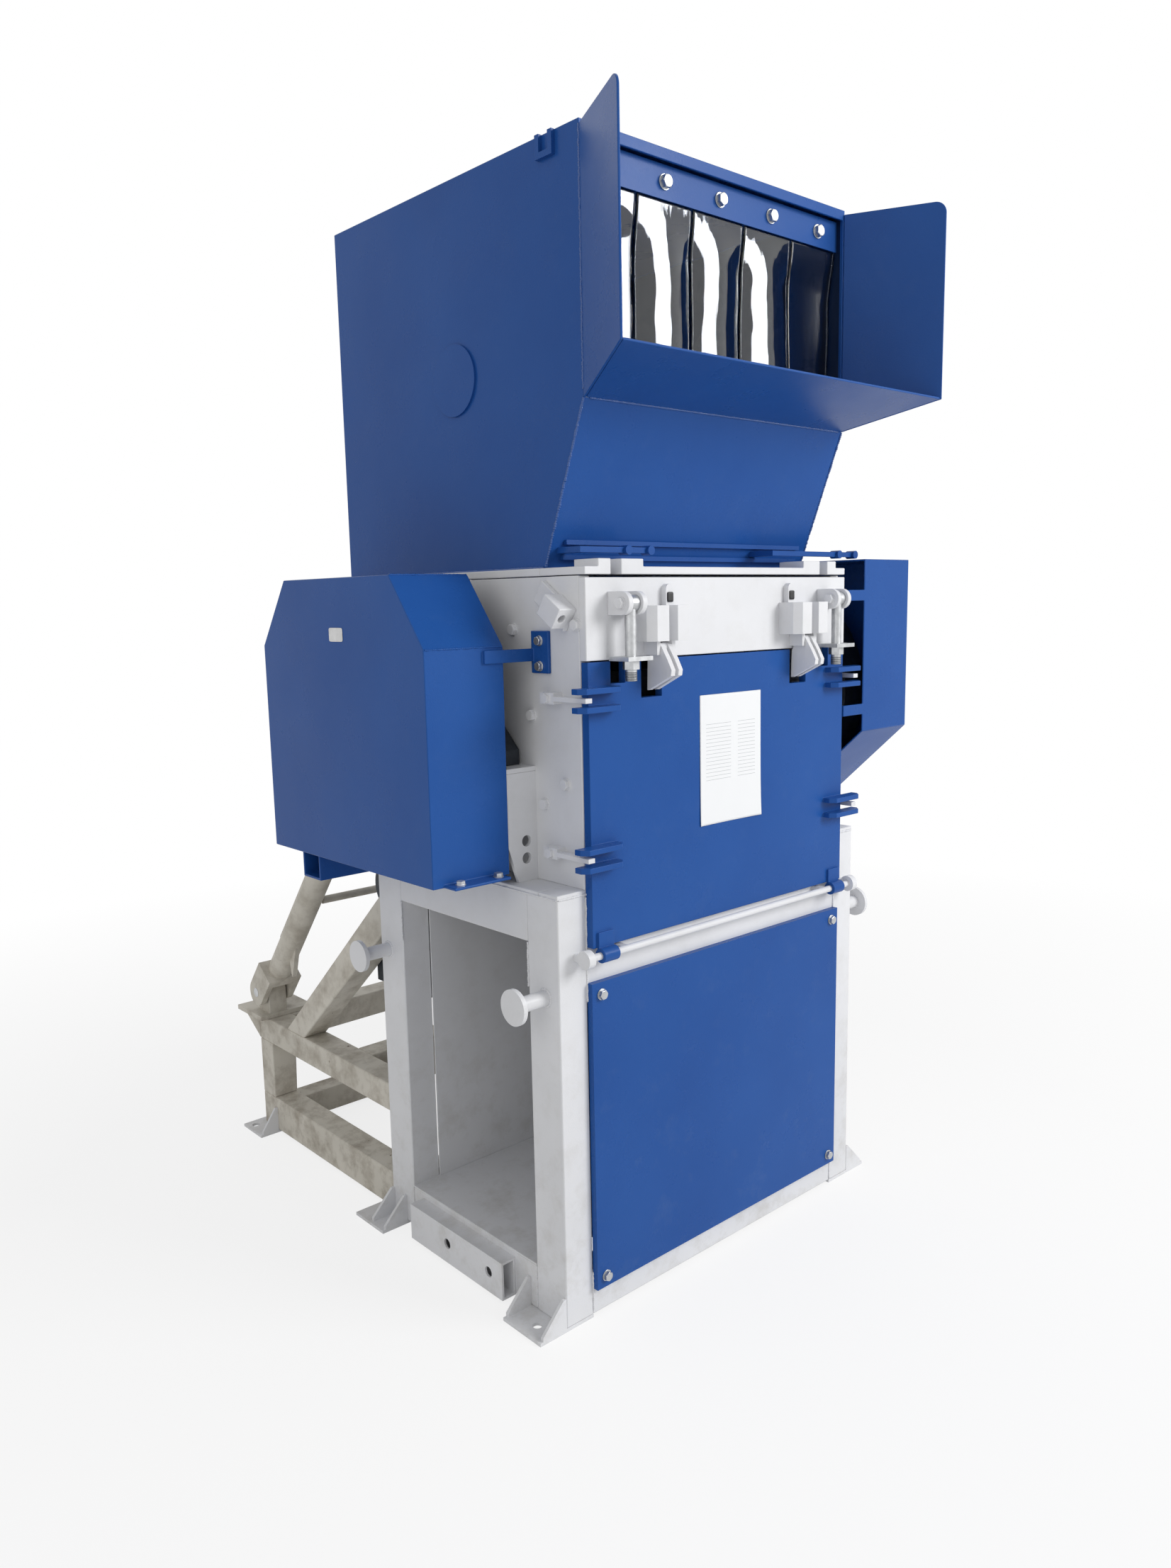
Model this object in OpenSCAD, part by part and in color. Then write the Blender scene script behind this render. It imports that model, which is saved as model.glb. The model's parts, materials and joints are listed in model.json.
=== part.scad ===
// Plastic granulator with a tilting feed hopper, on a pedestal with a rear frame.
// X runs to the right, Y to the back, Z up; the origin is on the floor,
// midway between the four anchor holes of the pedestal.

/* [Pedestal] */
// Reach of the pedestal beyond the chamber on each side
ped_ledge = 76; // [68:1:93]
// Depth of the pedestal from its front face to its back face
ped_d = 690; // [680:2:710]
// Height of the pedestal's top above the front panel
ped_rise = 204; // [198:1:214]
// Width of a post, seen from the front
post_w = 79; // [74:1:84]
// Depth of a post, seen from the side
post_d = 100; // [92:1:108]
// Wall of the frame tubes
tube_t = 6; // [4:1:8]
// Height of the side rails and the lower cross rails
rail_h = 106; // [100:1:112]
// Depth of a cross rail
cross_d = 60; // [50:1:64]
// Gap between the floor and the lower rails, also the foot plate's thickness
foot_t = 8; // [6:1:10]
// Thickness of the pedestal's top plates
top_t = 10; // [8:1:14]
// Thickness of the sheets that line the bin space
sheet_t = 4; // [3:1:6]

/* [Feet] */
// Distance between the front and rear anchor holes
anchor_y = 650; // [640:1:660]
// Distance of an anchor hole outside the pedestal's side
anchor_out = 39; // [37:1:42]
// Radius of an anchor hole
anchor_r = 11; // [9:0.5:13]
// Length of a foot plate along the machine's depth
foot_len = 130; // [124:1:140]
// Reach of a foot plate beyond the post
foot_reach = 76; // [72:1:84]

/* [Front panel] */
// Width of the front panel
panel_w = 868; // [850:2:880]
// Height of the front panel
panel_h = 706; // [700:1:712]
// Depth of the panel's pan
panel_d = 15; // [12:1:18]
// Height of the panel's lower edge above the floor
panel_z = 70; // [66:1:74]

/* [Chamber] */
// Width of the chamber over its side plates
cham_w = 874; // [870:1:876]
// Height of the chamber up to its joint with the hopper
cham_h = 651; // [649:1:654]
// Depth of the chamber at its top
cham_d = 880; // [874:1:886]
// Thickness of a chamber side plate
side_t = 30; // [26:1:32]
// Radius of the circle that the knives cut
cut_r = 190; // [184:1:192]
// Height of the rotor's axis above the pedestal
rotor_rise = 350; // [348:1:354]
// Radius of the rotor shaft
shaft_r = 50; // [46:1:52]
// Number of knife rows on the rotor
knife_rows = 3; // [2:1:4]

/* [Screen door] */
// Height of the screen door
door_h = 601; // [599:1:602]
// Thickness of the screen door
door_t = 20; // [17:1:20]
// Height of the door's hinge rod above the front panel
hinge_rod_rise = 64; // [62:1:66]
// Radius of the door's hinge rod
hinge_rod_r = 8; // [7:0.5:9]

/* [Hopper] */
// Width of the hopper
hop_w = 850; // [840:1:856]
// Depth of the hopper
hop_d = 908; // [900:1:912]
// Height of the hopper above its joint
hop_h = 855; // [829:1:889]
// Height of the feed opening's sill above the hopper's joint
sill_rise = 345; // [335:1:355]
// Wall of the hopper
hop_t = 6; // [5:1:8]
// Reach of the side wings ahead of the hopper
wing_reach = 211; // [200:1:220]
// Spread of each wing to its side
wing_spread = 101; // [94:1:108]

/* [Guards] */
// Height of the belt guard
guard_h = 635; // [628:1:645]
// Height of the belt guard's lower edge above the pedestal
guard_rise = 25; // [24:1:32]
// Length of the belt guard along the machine's depth
guard_len = 672; // [668:1:680]
// Width of each guard across its belts or its flywheel
guard_w = 198; // [196:1:206]
// Sheet thickness of the guards
guard_t = 4; // [3:1:5]
// Height of the flywheel guard's top above the pedestal
wheel_guard_rise = 692; // [686:1:700]

/* [Drive] */
// Radius of the driven pulley on the rotor
pulley_r = 160; // [150:1:164]
// Radius of the motor pulley
drive_r = 64; // [60:1:66]
// Radius of the flywheel
wheel_r = 285; // [270:1:292]
// Number of belts
belts = 4; // [3:1:4]
// Width of one belt
belt_w = 17; // [15:1:18]
// Radius of the motor over its fins
motor_r = 138; // [128:1:140]
// Length of the motor's body
motor_l = 520; // [480:5:540]

/* [Tilting] */
// Height of the hopper's hinge axis above the joint
tilt_rise = 9; // [9:1:11]
// Distance of the hopper's hinge axis behind the pedestal front
tilt_y = 930; // [926:1:934]
// Radius of the hopper's hinge pins
tilt_pin_r = 14; // [12:0.5:15]
// Radius of a cylinder barrel
barrel_r = 35; // [32:0.5:37]
// Radius of a cylinder rod
rod_r = 20; // [18:0.5:22]
// Radius of the pin at the foot of a cylinder
foot_pin_r = 14; // [12:0.5:16]

/* [Rear frame] */
// Length of the rear frame behind the pedestal
rear_d = 737; // [730:1:744]
// Side of the rear frame's tube
rear_tube = 74; // [70:1:76]
// Height of the upper rail's top
rear_top = 354; // [350:1:358]

/* [Hidden] */
$fn = 48;

// Colours as painted
blue = [0.17, 0.36, 0.63];
ivory = [0.88, 0.88, 0.86];
beige = [0.76, 0.74, 0.68];
steel = [0.62, 0.63, 0.65];
dark = [0.16, 0.17, 0.18];
clear = [0.70, 0.78, 0.86];

// Overrun of a cut, gap between loose solids of one group, and clearance of moving pieces
over = 1;
seam = 0.4;
gap = 0.4;
// Radial clearance of a shaft or pin in its bore
run = 0.05;

// Sizes that stand on one another
ped_w = cham_w + 2 * ped_ledge;
door_w = cham_w - 6;
anchor_x = ped_w + 2 * anchor_out;
panel_top = panel_z + panel_h;
ped_h = panel_top + ped_rise;
rotor_z = ped_h + rotor_rise;
split_z = ped_h + cham_h;
tilt_z = split_z + tilt_rise;
sill_z = split_z + sill_rise;
hop_top = split_z + hop_h;
hinge_rod_z = panel_top + hinge_rod_rise;
guard_low = ped_h + guard_rise;
guard_top = guard_low + guard_h;
wheel_guard_top = ped_h + wheel_guard_rise;

// Cylinders outside the arms, with the rear frame's sides under them
arm_gap = 2.6;
arm_t = 8;
rod_eye_half = rod_r;
arm_x = cham_w / 2 + arm_gap;
cyl_x = arm_x + arm_t + seam + rod_eye_half;
rear_w = 2 * cyl_x + rear_tube;

// Places along the depth
anchor_in = 55;
front_y = -anchor_y / 2 - anchor_in;
back_y = front_y + ped_d;
rotor_y = front_y + 345;
tilt_at = front_y + tilt_y;
post_in = ped_w / 2 - post_w;
post_top = ped_h - top_t;

module box(low, high) {
    translate(low)
        cube(high - low);
}

module both_sides() {
    children();
    mirror([1, 0, 0])
        children();
}

// Carries an outline drawn in depth and height along the width
module along_x(x, length) {
    translate([x, 0, 0])
        rotate([90, 0, 90])
            linear_extrude(length)
                children();
}

module bar_x(x, y, z, r, length) {
    translate([x, y, z])
        rotate([0, 90, 0])
            cylinder(r = r, h = length);
}

module bar_y(x, y, z, r, length) {
    translate([x, y, z])
        rotate([-90, 0, 0])
            cylinder(r = r, h = length);
}

// Rectangular tube, open along one axis
module tube(low, high, axis) {
    size = high - low;
    bore = [for (i = [0:2]) i == axis ? size[i] + 2 * over : size[i] - 2 * tube_t];
    translate((low + high) / 2)
        difference() {
            cube(size, center = true);
            cube(bore, center = true);
        }
}

// Feet under the pedestal and under the end of the rear frame
gusset_h = 70;
rear_foot_len = 114;
rear_foot_y = front_y + 1343;
rear_anchor_x = rear_w + 70;
rear_anchor_y = rear_foot_y + 82;

module gusset(x, y, reach) {
    translate([x, y + foot_t, foot_t])
        rotate([90, 0, 0])
            linear_extrude(foot_t)
                polygon([[0, 0], [reach, 0], [reach, foot_t], [foot_t, gusset_h], [0, gusset_h]]);
}

module foot(x_low, x_high, y, length, hole, webs) {
    difference() {
        union() {
            box([x_low, y, 0], [x_high, y + length, foot_t]);
            for (web = webs)
                gusset(web[0], web[1], x_high - web[0] - foot_t);
        }
        translate([hole[0], hole[1], -over])
            cylinder(r = anchor_r, h = foot_t + 2 * over);
    }
}

module anchor_feet() {
    side = ped_w / 2;
    color(ivory)
        both_sides() {
            foot(post_in, side + foot_reach, front_y, foot_len, [anchor_x / 2, -anchor_y / 2],
                [[side, front_y], [side, front_y + foot_len - foot_t]]);
            foot(post_in, side + foot_reach, back_y - foot_len / 2, foot_len, [anchor_x / 2, anchor_y / 2],
                [[side, back_y - foot_len / 2], [side, back_y - foot_t]]);
            foot(rear_w / 2 - rear_tube, rear_anchor_x / 2 + foot_t * 3, rear_foot_y, rear_foot_len,
                [rear_anchor_x / 2, rear_anchor_y], [[rear_w / 2, rear_foot_y]]);
        }
}

// Pedestal
top_rail_z = ped_h - 250;
side_rail_low = foot_t;
mid_rail_z = ped_h - 400;

module pedestal_posts() {
    color(ivory)
        both_sides()
            for (y = [front_y, back_y - post_d])
                tube([post_in, y, foot_t], [ped_w / 2, y + post_d, post_top], 2);
}

module pedestal_rails() {
    color(ivory) {
        both_sides()
            for (z = [side_rail_low, post_top - rail_h])
                tube([post_in, front_y + post_d, z], [ped_w / 2, back_y - post_d, z + rail_h], 1);
        tube([-post_in, front_y, foot_t], [post_in, front_y + cross_d, foot_t + rail_h], 0);
        tube([-post_in, front_y, top_rail_z], [post_in, front_y + cross_d, post_top], 0);
        for (z = [side_rail_low, mid_rail_z, post_top - rail_h])
            tube([-post_in, back_y - cross_d, z], [post_in, back_y, z + rail_h], 0);
    }
}

hole_in_y = 60;
hole_back_y = 560;

module pedestal_top() {
    hole_x = cham_w / 2 - side_t;
    color(ivory) {
        box([-ped_w / 2, front_y, post_top], [ped_w / 2, front_y + hole_in_y, ped_h]);
        box([-ped_w / 2, front_y + hole_back_y, post_top], [ped_w / 2, back_y, ped_h]);
        both_sides()
            box([hole_x, front_y + hole_in_y + seam, post_top],
                [ped_w / 2, front_y + hole_back_y - seam, ped_h]);
    }
}

// Sheets that close the space where the collecting bin stands
bin_top = post_top - seam;

module bin_lining() {
    floor_z = foot_t + rail_h;
    x = post_in - seam;
    y0 = front_y + post_d;
    y1 = back_y - post_d;
    color(ivory) {
        box([-ped_w / 2, y0, floor_z + seam], [x, y1, floor_z + seam + sheet_t]);
        for (y = [y0 + seam, y1 - sheet_t - seam])
            box([-x, y, floor_z + sheet_t + 2 * seam], [x, y + sheet_t, bin_top]);
        box([x - sheet_t, y0 + sheet_t + 2 * seam, floor_z + sheet_t + 2 * seam],
            [x, y1 - sheet_t - 2 * seam, bin_top]);
    }
}

// Front panel, a pan held by a bolt near each corner
panel_skin = 3;
bolt_r = 6;
bolt_in = 27;
bolt_head_r = 11;
bolt_head_h = 8;

module hex_bolt(r, head_r, head_h, length) {
    rotate([90, 0, 0])
        cylinder(r = head_r, h = head_h, $fn = 6);
    rotate([-90, 0, 0])
        cylinder(r = r, h = length);
}

module panel_places() {
    for (x = [-1, 1])
        for (z = [panel_z + bolt_in, panel_z + panel_h - bolt_in])
            translate([x * (panel_w / 2 - bolt_in), front_y - panel_d, z])
                children();
}

module front_panel() {
    color(blue)
        difference() {
            box([-panel_w / 2, front_y - panel_d, panel_z], [panel_w / 2, front_y, panel_z + panel_h]);
            box([-panel_w / 2 + panel_skin, front_y - panel_d + panel_skin, panel_z + panel_skin],
                [panel_w / 2 - panel_skin, front_y + over, panel_z + panel_h - panel_skin]);
            panel_places()
                rotate([-90, 0, 0])
                    translate([0, 0, -over])
                        cylinder(r = bolt_r + gap, h = panel_d + over);
        }
}

module panel_bolts() {
    color(steel)
        panel_places()
            hex_bolt(bolt_r, bolt_head_r, bolt_head_h, panel_d - seam);
}

// Low rail with two holes beside the bin opening
guide_reach = 40;
guide_l = 370;
guide_front = front_y + 178;
guide_h = 92;
guide_hole_r = 12.5;
guide_hole_z = 58;
guide_holes = [229, 392];

module bin_guides() {
    color(ivory)
        both_sides()
            difference() {
                tube([ped_w / 2, guide_front, foot_t],
                    [ped_w / 2 + guide_reach, guide_front + guide_l, foot_t + guide_h], 1);
                for (y = guide_holes)
                    bar_x(ped_w / 2 + guide_reach / 2, front_y + y, guide_hole_z, guide_hole_r, guide_reach);
            }
}

// Round bollards for lifting slings
bollard_stem_r = 17;
bollard_disc_r = 39;
bollard_disc_t = 10;
bollard_reach = 89;
bollard_front = [46, 752];
bollard_rear = [656, 728];

module lifting_bollards() {
    color(ivory)
        both_sides()
            for (place = [bollard_front, bollard_rear]) {
                bar_x(ped_w / 2, front_y + place[0], place[1], bollard_stem_r, bollard_reach);
                bar_x(ped_w / 2 + bollard_reach - bollard_disc_t, front_y + place[0], place[1],
                    bollard_disc_r, bollard_disc_t);
            }
}

// Rear frame that carries the tilting cylinders
rear_low_h = 100;
rear_end = back_y + rear_d;
rear_in = rear_w / 2 - rear_tube;
brace_run = [460, 561];
brace_rise = [407, 512];
mid_beam_y = front_y + 900;

module rear_rails() {
    color(beige)
        both_sides() {
            tube([rear_in, back_y, foot_t], [rear_w / 2, rear_end, foot_t + rear_low_h], 1);
            tube([rear_in, back_y, rear_top - rear_tube], [rear_w / 2, rear_end, rear_top], 1);
        }
}

module rear_struts() {
    color(beige) {
        both_sides() {
            tube([rear_in, rear_end - rear_tube, foot_t + rear_low_h],
                [rear_w / 2, rear_end, rear_top - rear_tube], 2);
            along_x(rear_in, rear_tube)
                polygon([[back_y + brace_run[0], rear_top], [back_y + brace_run[1], rear_top],
                    [back_y, rear_top + brace_rise[1]], [back_y, rear_top + brace_rise[0]]]);
        }
        for (z = [foot_t, rear_top - rear_tube])
            tube([-rear_in, rear_end - rear_tube, z], [rear_in, rear_end, z + rear_tube], 0);
        tube([-rear_in, mid_beam_y, rear_top - rear_tube], [rear_in, mid_beam_y + rear_tube, rear_top], 0);
    }
}

// Cylinder foot: a plate over the frame's corner with a lug between the barrel's ears
clevis_half = 52;
foot_pin_y = front_y + 1406;
foot_pin_z = 432;
lug_half = 28;
lug_r = 34;
flange_t = 14;
flange_x = [cyl_x - 108, cyl_x + 62];
flange_y = [front_y + 1363, front_y + 1519];
heel_depth = 74;

module clevis_brackets() {
    lug_foot = rear_top + flange_t;
    color(beige)
        both_sides()
            difference() {
                union() {
                    box([flange_x[0], flange_y[0], rear_top], [flange_x[1], flange_y[1], lug_foot]);
                    along_x(cyl_x - lug_half, 2 * lug_half)
                        union() {
                            translate([foot_pin_y, foot_pin_z])
                                circle(r = lug_r);
                            polygon([[foot_pin_y - lug_r, lug_foot], [foot_pin_y + lug_r, lug_foot],
                                [foot_pin_y + lug_r, foot_pin_z], [foot_pin_y - lug_r, foot_pin_z]]);
                        }
                    along_x(rear_in, rear_tube)
                        polygon([[rear_end, rear_top], [flange_y[1], rear_top],
                            [flange_y[1], rear_top - flange_t], [rear_end, rear_top - heel_depth]]);
                }
                bar_x(cyl_x - lug_half - over, foot_pin_y, foot_pin_z, foot_pin_r + run,
                    2 * lug_half + 2 * over);
            }
}

// Pins of the cylinder feet and of the hopper's hinge
hinge_x = cham_w / 2 - 107;
hinge_half = 50;

module hinge_pins() {
    color(steel)
        both_sides() {
            bar_x(cyl_x - clevis_half - over, foot_pin_y, foot_pin_z, foot_pin_r, 2 * (clevis_half + over));
            bar_x(hinge_x - hinge_half, tilt_at, tilt_z, tilt_pin_r, 2 * hinge_half);
        }
}

// Cutting chamber
cham_in = cham_w / 2 - side_t;
plate_d = 20;
front_low = split_z - 172;
back_low_y = 590;
back_low_z = rotor_z - 90;
back_high_z = rotor_z + 170;
wall_t = 12;
shaft_hole_r = shaft_r + 12;
shelf_z = rotor_z + 152;
shelf_t = 20;
shelf_d = 150;
rear_shelf_share = 1.8;
lid_gap = 4;
knife_seat_t = 20;

function back_line(inset) = [[front_y + back_low_y - inset, ped_h],
    [front_y + back_low_y - inset, back_low_z + inset / 2],
    [front_y + cham_d - inset, back_high_z + inset / 2],
    [front_y + cham_d - inset, split_z]];

module chamber_side() {
    difference() {
        along_x(cham_in, side_t)
            polygon(concat([[front_y, split_z], [front_y, ped_h]], back_line(0)));
        bar_x(cham_in - over, rotor_y, rotor_z, shaft_hole_r, side_t + 2 * over);
    }
}

module chamber_side_left() {
    color(ivory)
        mirror([1, 0, 0])
            chamber_side();
}

module chamber_side_right() {
    color(ivory)
        chamber_side();
}

module chamber_front() {
    x = cham_w / 2;
    color(ivory) {
        box([-x, front_y - plate_d, front_low], [x, front_y, split_z - lid_gap]);
        box([-cham_in, front_y, shelf_z], [cham_in, front_y + shelf_d, shelf_z + shelf_t]);
    }
}

module chamber_rear() {
    line = back_line(0);
    inner = back_line(wall_t);
    shelf_y = line[2][0] - shelf_d * rear_shelf_share;
    color(ivory) {
        along_x(-cham_in, 2 * cham_in)
            polygon(concat(line, [for (i = [3:-1:0]) inner[i]]));
        box([-cham_in, shelf_y, shelf_z + shelf_t], [cham_in, line[2][0] - wall_t, shelf_z + 2 * shelf_t]);
    }
}

// Fixed knives under the two shelves
knife_gap = 3;
knife_z = shelf_z - knife_seat_t;
knife_low = knife_z - rotor_z;
knife_edge = sqrt(pow(cut_r + knife_gap, 2) - pow(knife_low, 2));
knife_len = 2 * cham_in - 2 * seam;
bed_depth = 90;

module bed_knives() {
    y = rotor_y - knife_edge - bed_depth;
    back = rotor_y + knife_edge;
    color(steel) {
        box([-knife_len / 2, y, knife_z], [knife_len / 2, y + bed_depth, shelf_z]);
        box([-knife_len / 2, back, knife_z], [knife_len / 2, back + 2 * bed_depth, shelf_z + shelf_t]);
    }
}

// Half-round screen and the ribs that carry it
screen_r = cut_r + 10;
screen_t = 8;
screen_from = 155;
screen_to = 385;
screen_hole_r = 12;
screen_rows = 6;
screen_columns = 9;
rib_t = 14;
rib_from_end = 58;
rib_h = 34;
rib_places = [2 * rib_from_end - cham_in, 0, cham_in - 2 * rib_from_end];
tie_r = 12;
tie_from_end = 20;

// Ring sector about the rotor's axis, its angles counted from the back upwards
module sector(r, thick, from, to, x, length) {
    translate([x, rotor_y, rotor_z])
        rotate([90, 0, 90])
            rotate([0, 0, from])
                rotate_extrude(angle = to - from)
                    translate([r, 0])
                        square([thick, length]);
}

module screen() {
    half = cham_in - seam;
    color(steel)
        difference() {
            sector(screen_r, screen_t, screen_from, screen_to, -half, 2 * half);
            for (row = [1:screen_rows], column = [1:screen_columns])
                translate([-half + 2 * half * column / (screen_columns + 1), rotor_y, rotor_z])
                    rotate([screen_from + (screen_to - screen_from) * row / (screen_rows + 1) - 90, 0, 0])
                        translate([0, 0, screen_r - over])
                            cylinder(r = screen_hole_r, h = screen_t + 2 * over);
        }
}

module screen_cradle() {
    r = screen_r + screen_t + gap;
    tie_at = r + rib_h / 2;
    color(ivory) {
        for (x = rib_places)
            sector(r, rib_h, screen_from, screen_to, x - rib_t / 2, rib_t);
        for (a = [screen_from + tie_from_end, (screen_from + screen_to) / 2, screen_to - tie_from_end])
            bar_x(-cham_in, rotor_y + tie_at * cos(a), rotor_z + tie_at * sin(a), tie_r, 2 * cham_in);
    }
}

// Rotor
rotor_half = cham_in - 12;
core_r = 104;
arm_w = 84;
arm_r = cut_r - 24;
blade_w = 62;
blade_t = 14;
blade_bolt_share = 0.62;
blade_bolt_pitch_share = 0.217;
knife_row_turn = 15;
pulley_x = cham_w / 2 + 263;
shaft_end = pulley_x + 2;
seat_at = 26;

module at_rows() {
    for (i = [0:knife_rows - 1])
        translate([0, rotor_y, rotor_z])
            rotate([360 / knife_rows * i + knife_row_turn, 0, 0])
                children();
}

module rotor_shaft() {
    color(steel)
        bar_x(-shaft_end, rotor_y, rotor_z, shaft_r, 2 * shaft_end);
}

module rotor_body() {
    color(dark)
        difference() {
            union() {
                bar_x(-rotor_half, rotor_y, rotor_z, core_r, 2 * rotor_half);
                at_rows()
                    box([-rotor_half + seam, -arm_w / 2, core_r - seat_at],
                        [rotor_half - seam, seat_at - gap, arm_r]);
            }
            bar_x(-rotor_half - over, rotor_y, rotor_z, shaft_r + run, 2 * (rotor_half + over));
        }
}

module rotor_knives() {
    tip = sqrt(pow(cut_r, 2) - pow(seat_at + blade_t, 2));
    color(steel)
        at_rows() {
            box([-rotor_half, seat_at, tip - blade_w], [rotor_half, seat_at + blade_t, tip]);
            for (i = [-4:4])
                translate([rotor_half * i * blade_bolt_pitch_share, seat_at + blade_t,
                    tip - blade_w * blade_bolt_share])
                    rotate([-90, 0, 0])
                        cylinder(r = bolt_head_r, h = bolt_head_h, $fn = 6);
        }
}

// Bearings on stands outside the side plates
stand_d = 388;
stand_top = rotor_z - 100;
stand_reach = 80;
stand_t = 10;
stand_hole_r = 12.5;
stand_holes = [ped_h + 51, ped_h + 89];
stand_hole_x = 30;
bearing_r = 84;
bearing_from = 8;
bearing_w = 66;
bearing_base = 150;

module bearing_stands() {
    x0 = cham_w / 2;
    x1 = x0 + stand_reach;
    y0 = rotor_y - stand_d / 2;
    y1 = rotor_y + stand_d / 2;
    color(ivory)
        both_sides() {
            for (y = [y0, y1 - stand_t])
                difference() {
                    translate([0, y + stand_t, 0])
                        rotate([90, 0, 0])
                            linear_extrude(stand_t)
                                polygon([[x0, ped_h], [x1 - stand_reach / 3, ped_h],
                                    [x1, ped_h + stand_reach], [x1, stand_top - stand_t - seam],
                                    [x0, stand_top - stand_t - seam]]);
                    for (z = stand_holes)
                        bar_y(x0 + stand_hole_x, y - over, z, stand_hole_r, stand_t + 2 * over);
                }
            box([x0, y0, stand_top - stand_t], [x1, y1, stand_top]);
        }
}

module bearing_housings() {
    x0 = cham_w / 2 + bearing_from;
    color(dark)
        both_sides()
            difference() {
                along_x(x0, bearing_w) {
                    translate([rotor_y, rotor_z])
                        circle(r = bearing_r);
                    polygon([[rotor_y - bearing_base, stand_top], [rotor_y + bearing_base, stand_top],
                        [rotor_y + bearing_base, stand_top + bearing_w / 2], [rotor_y + bearing_r, rotor_z],
                        [rotor_y - bearing_r, rotor_z], [rotor_y - bearing_base, stand_top + bearing_w / 2]]);
                }
                bar_x(x0 - over, rotor_y, rotor_z, shaft_r + run, bearing_w + 2 * over);
            }
}

// Belt drive on the left, flywheel on the right
pulley_bore_at_share = 0.6;
pulley_bore_share = 0.16;
groove_w = belt_w + 2;
groove_pitch = belt_w + 8;
groove_h = 14;
pulley_w = belts * groove_pitch + 6;
belts_from = -pulley_x + (pulley_w - belts * groove_pitch) / 2;
belt_h = 11;
motor_y = front_y + 735;
motor_z = ped_h + 155;
motor_shaft_r = 24;
hub_r = 84;
wheel_x = cham_w / 2 + 123;
wheel_w = 84;
wheel_rim_share = 0.84;
wheel_web_from_share = 0.7;
wheel_bore_at_share = 0.57;
wheel_bore_share = 0.14;

module grooves(y, z, r) {
    for (i = [0:belts - 1])
        translate([belts_from + (i + 0.5) * groove_pitch - groove_w / 2, y, z])
            rotate([0, 90, 0])
                difference() {
                    cylinder(r = r + over, h = groove_w);
                    translate([0, 0, -over])
                        cylinder(r = r - groove_h, h = groove_w + 2 * over);
                }
}

module driven_pulley() {
    color(dark)
        difference() {
            bar_x(-pulley_x, rotor_y, rotor_z, pulley_r, pulley_w);
            grooves(rotor_y, rotor_z, pulley_r);
            bar_x(-pulley_x - over, rotor_y, rotor_z, shaft_r + run, pulley_w + 2 * over);
            for (a = [0:60:300])
                bar_x(-pulley_x - over, rotor_y + pulley_r * pulley_bore_at_share * cos(a),
                    rotor_z + pulley_r * pulley_bore_at_share * sin(a),
                    pulley_r * pulley_bore_share, pulley_w + 2 * over);
        }
}

module flywheel() {
    color(dark)
        difference() {
            bar_x(wheel_x, rotor_y, rotor_z, wheel_r, wheel_w);
            for (x = [wheel_x - over, wheel_x + wheel_w * wheel_web_from_share])
                translate([x, rotor_y, rotor_z])
                    rotate([0, 90, 0])
                        difference() {
                            cylinder(r = wheel_r * wheel_rim_share,
                                h = wheel_w * (1 - wheel_web_from_share) + over);
                            translate([0, 0, -over])
                                cylinder(r = hub_r, h = wheel_w + 2 * over);
                        }
            bar_x(wheel_x - over, rotor_y, rotor_z, shaft_r + run, wheel_w + 2 * over);
            for (a = [0:60:300])
                bar_x(wheel_x - over, rotor_y + wheel_r * wheel_bore_at_share * cos(a),
                    rotor_z + wheel_r * wheel_bore_at_share * sin(a),
                    wheel_r * wheel_bore_share, wheel_w + 2 * over);
        }
}

module belt_outline(inset) {
    hull() {
        translate([rotor_y, rotor_z])
            circle(r = pulley_r - inset);
        translate([motor_y, motor_z])
            circle(r = drive_r - inset);
    }
}

module drive_belts() {
    color(dark)
        for (i = [0:belts - 1])
            along_x(belts_from + (i + 0.5) * groove_pitch - belt_w / 2, belt_w)
                difference() {
                    belt_outline(groove_h - seam - belt_h);
                    belt_outline(groove_h - seam);
                }
}

// Motor behind the chamber
motor_left = -cham_in + 12;
fins = 24;
fin_h = 16;
fin_t = 5;
shield_l = 46;
motor_foot_w = 250;
terminal_box_share = 0.58;
foot_from_end_share = 3.5;

module main_motor() {
    core = motor_r - fin_h;
    feet_z = ped_h + platform_t;
    color(dark)
        difference() {
            union() {
                bar_x(motor_left, motor_y, motor_z, core, motor_l);
                bar_x(motor_left, motor_y, motor_z, motor_r, shield_l);
                bar_x(motor_left + motor_l - 2 * shield_l, motor_y, motor_z, motor_r, 2 * shield_l);
                for (i = [0:fins - 1])
                    translate([motor_left + shield_l, motor_y, motor_z])
                        rotate([360 / fins * i, 0, 0])
                            box([-over, -fin_t / 2, core - over],
                                [motor_l - 3 * shield_l + over, fin_t / 2, motor_r]);
                box([motor_left + motor_l / 3, motor_y - motor_r / 2, motor_z + core - fin_h],
                    [motor_left + motor_l * terminal_box_share, motor_y + motor_r / 3,
                        motor_z + motor_r + fin_h]);
                for (x = [motor_left + shield_l, motor_left + motor_l - foot_from_end_share * shield_l])
                    box([x, motor_y - motor_foot_w / 2, feet_z],
                        [x + shield_l, motor_y + motor_foot_w / 2, feet_z + 3 * fin_h]);
            }
            bar_x(motor_left - over, motor_y, motor_z, motor_shaft_r + run, shield_l + over);
        }
}

module motor_pulley() {
    color(dark)
        difference() {
            union() {
                bar_x(-pulley_x, motor_y, motor_z, drive_r, pulley_w);
                bar_x(-pulley_x, motor_y, motor_z, motor_shaft_r, pulley_x + motor_left + shield_l - over);
            }
            grooves(motor_y, motor_z, drive_r);
        }
}

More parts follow.
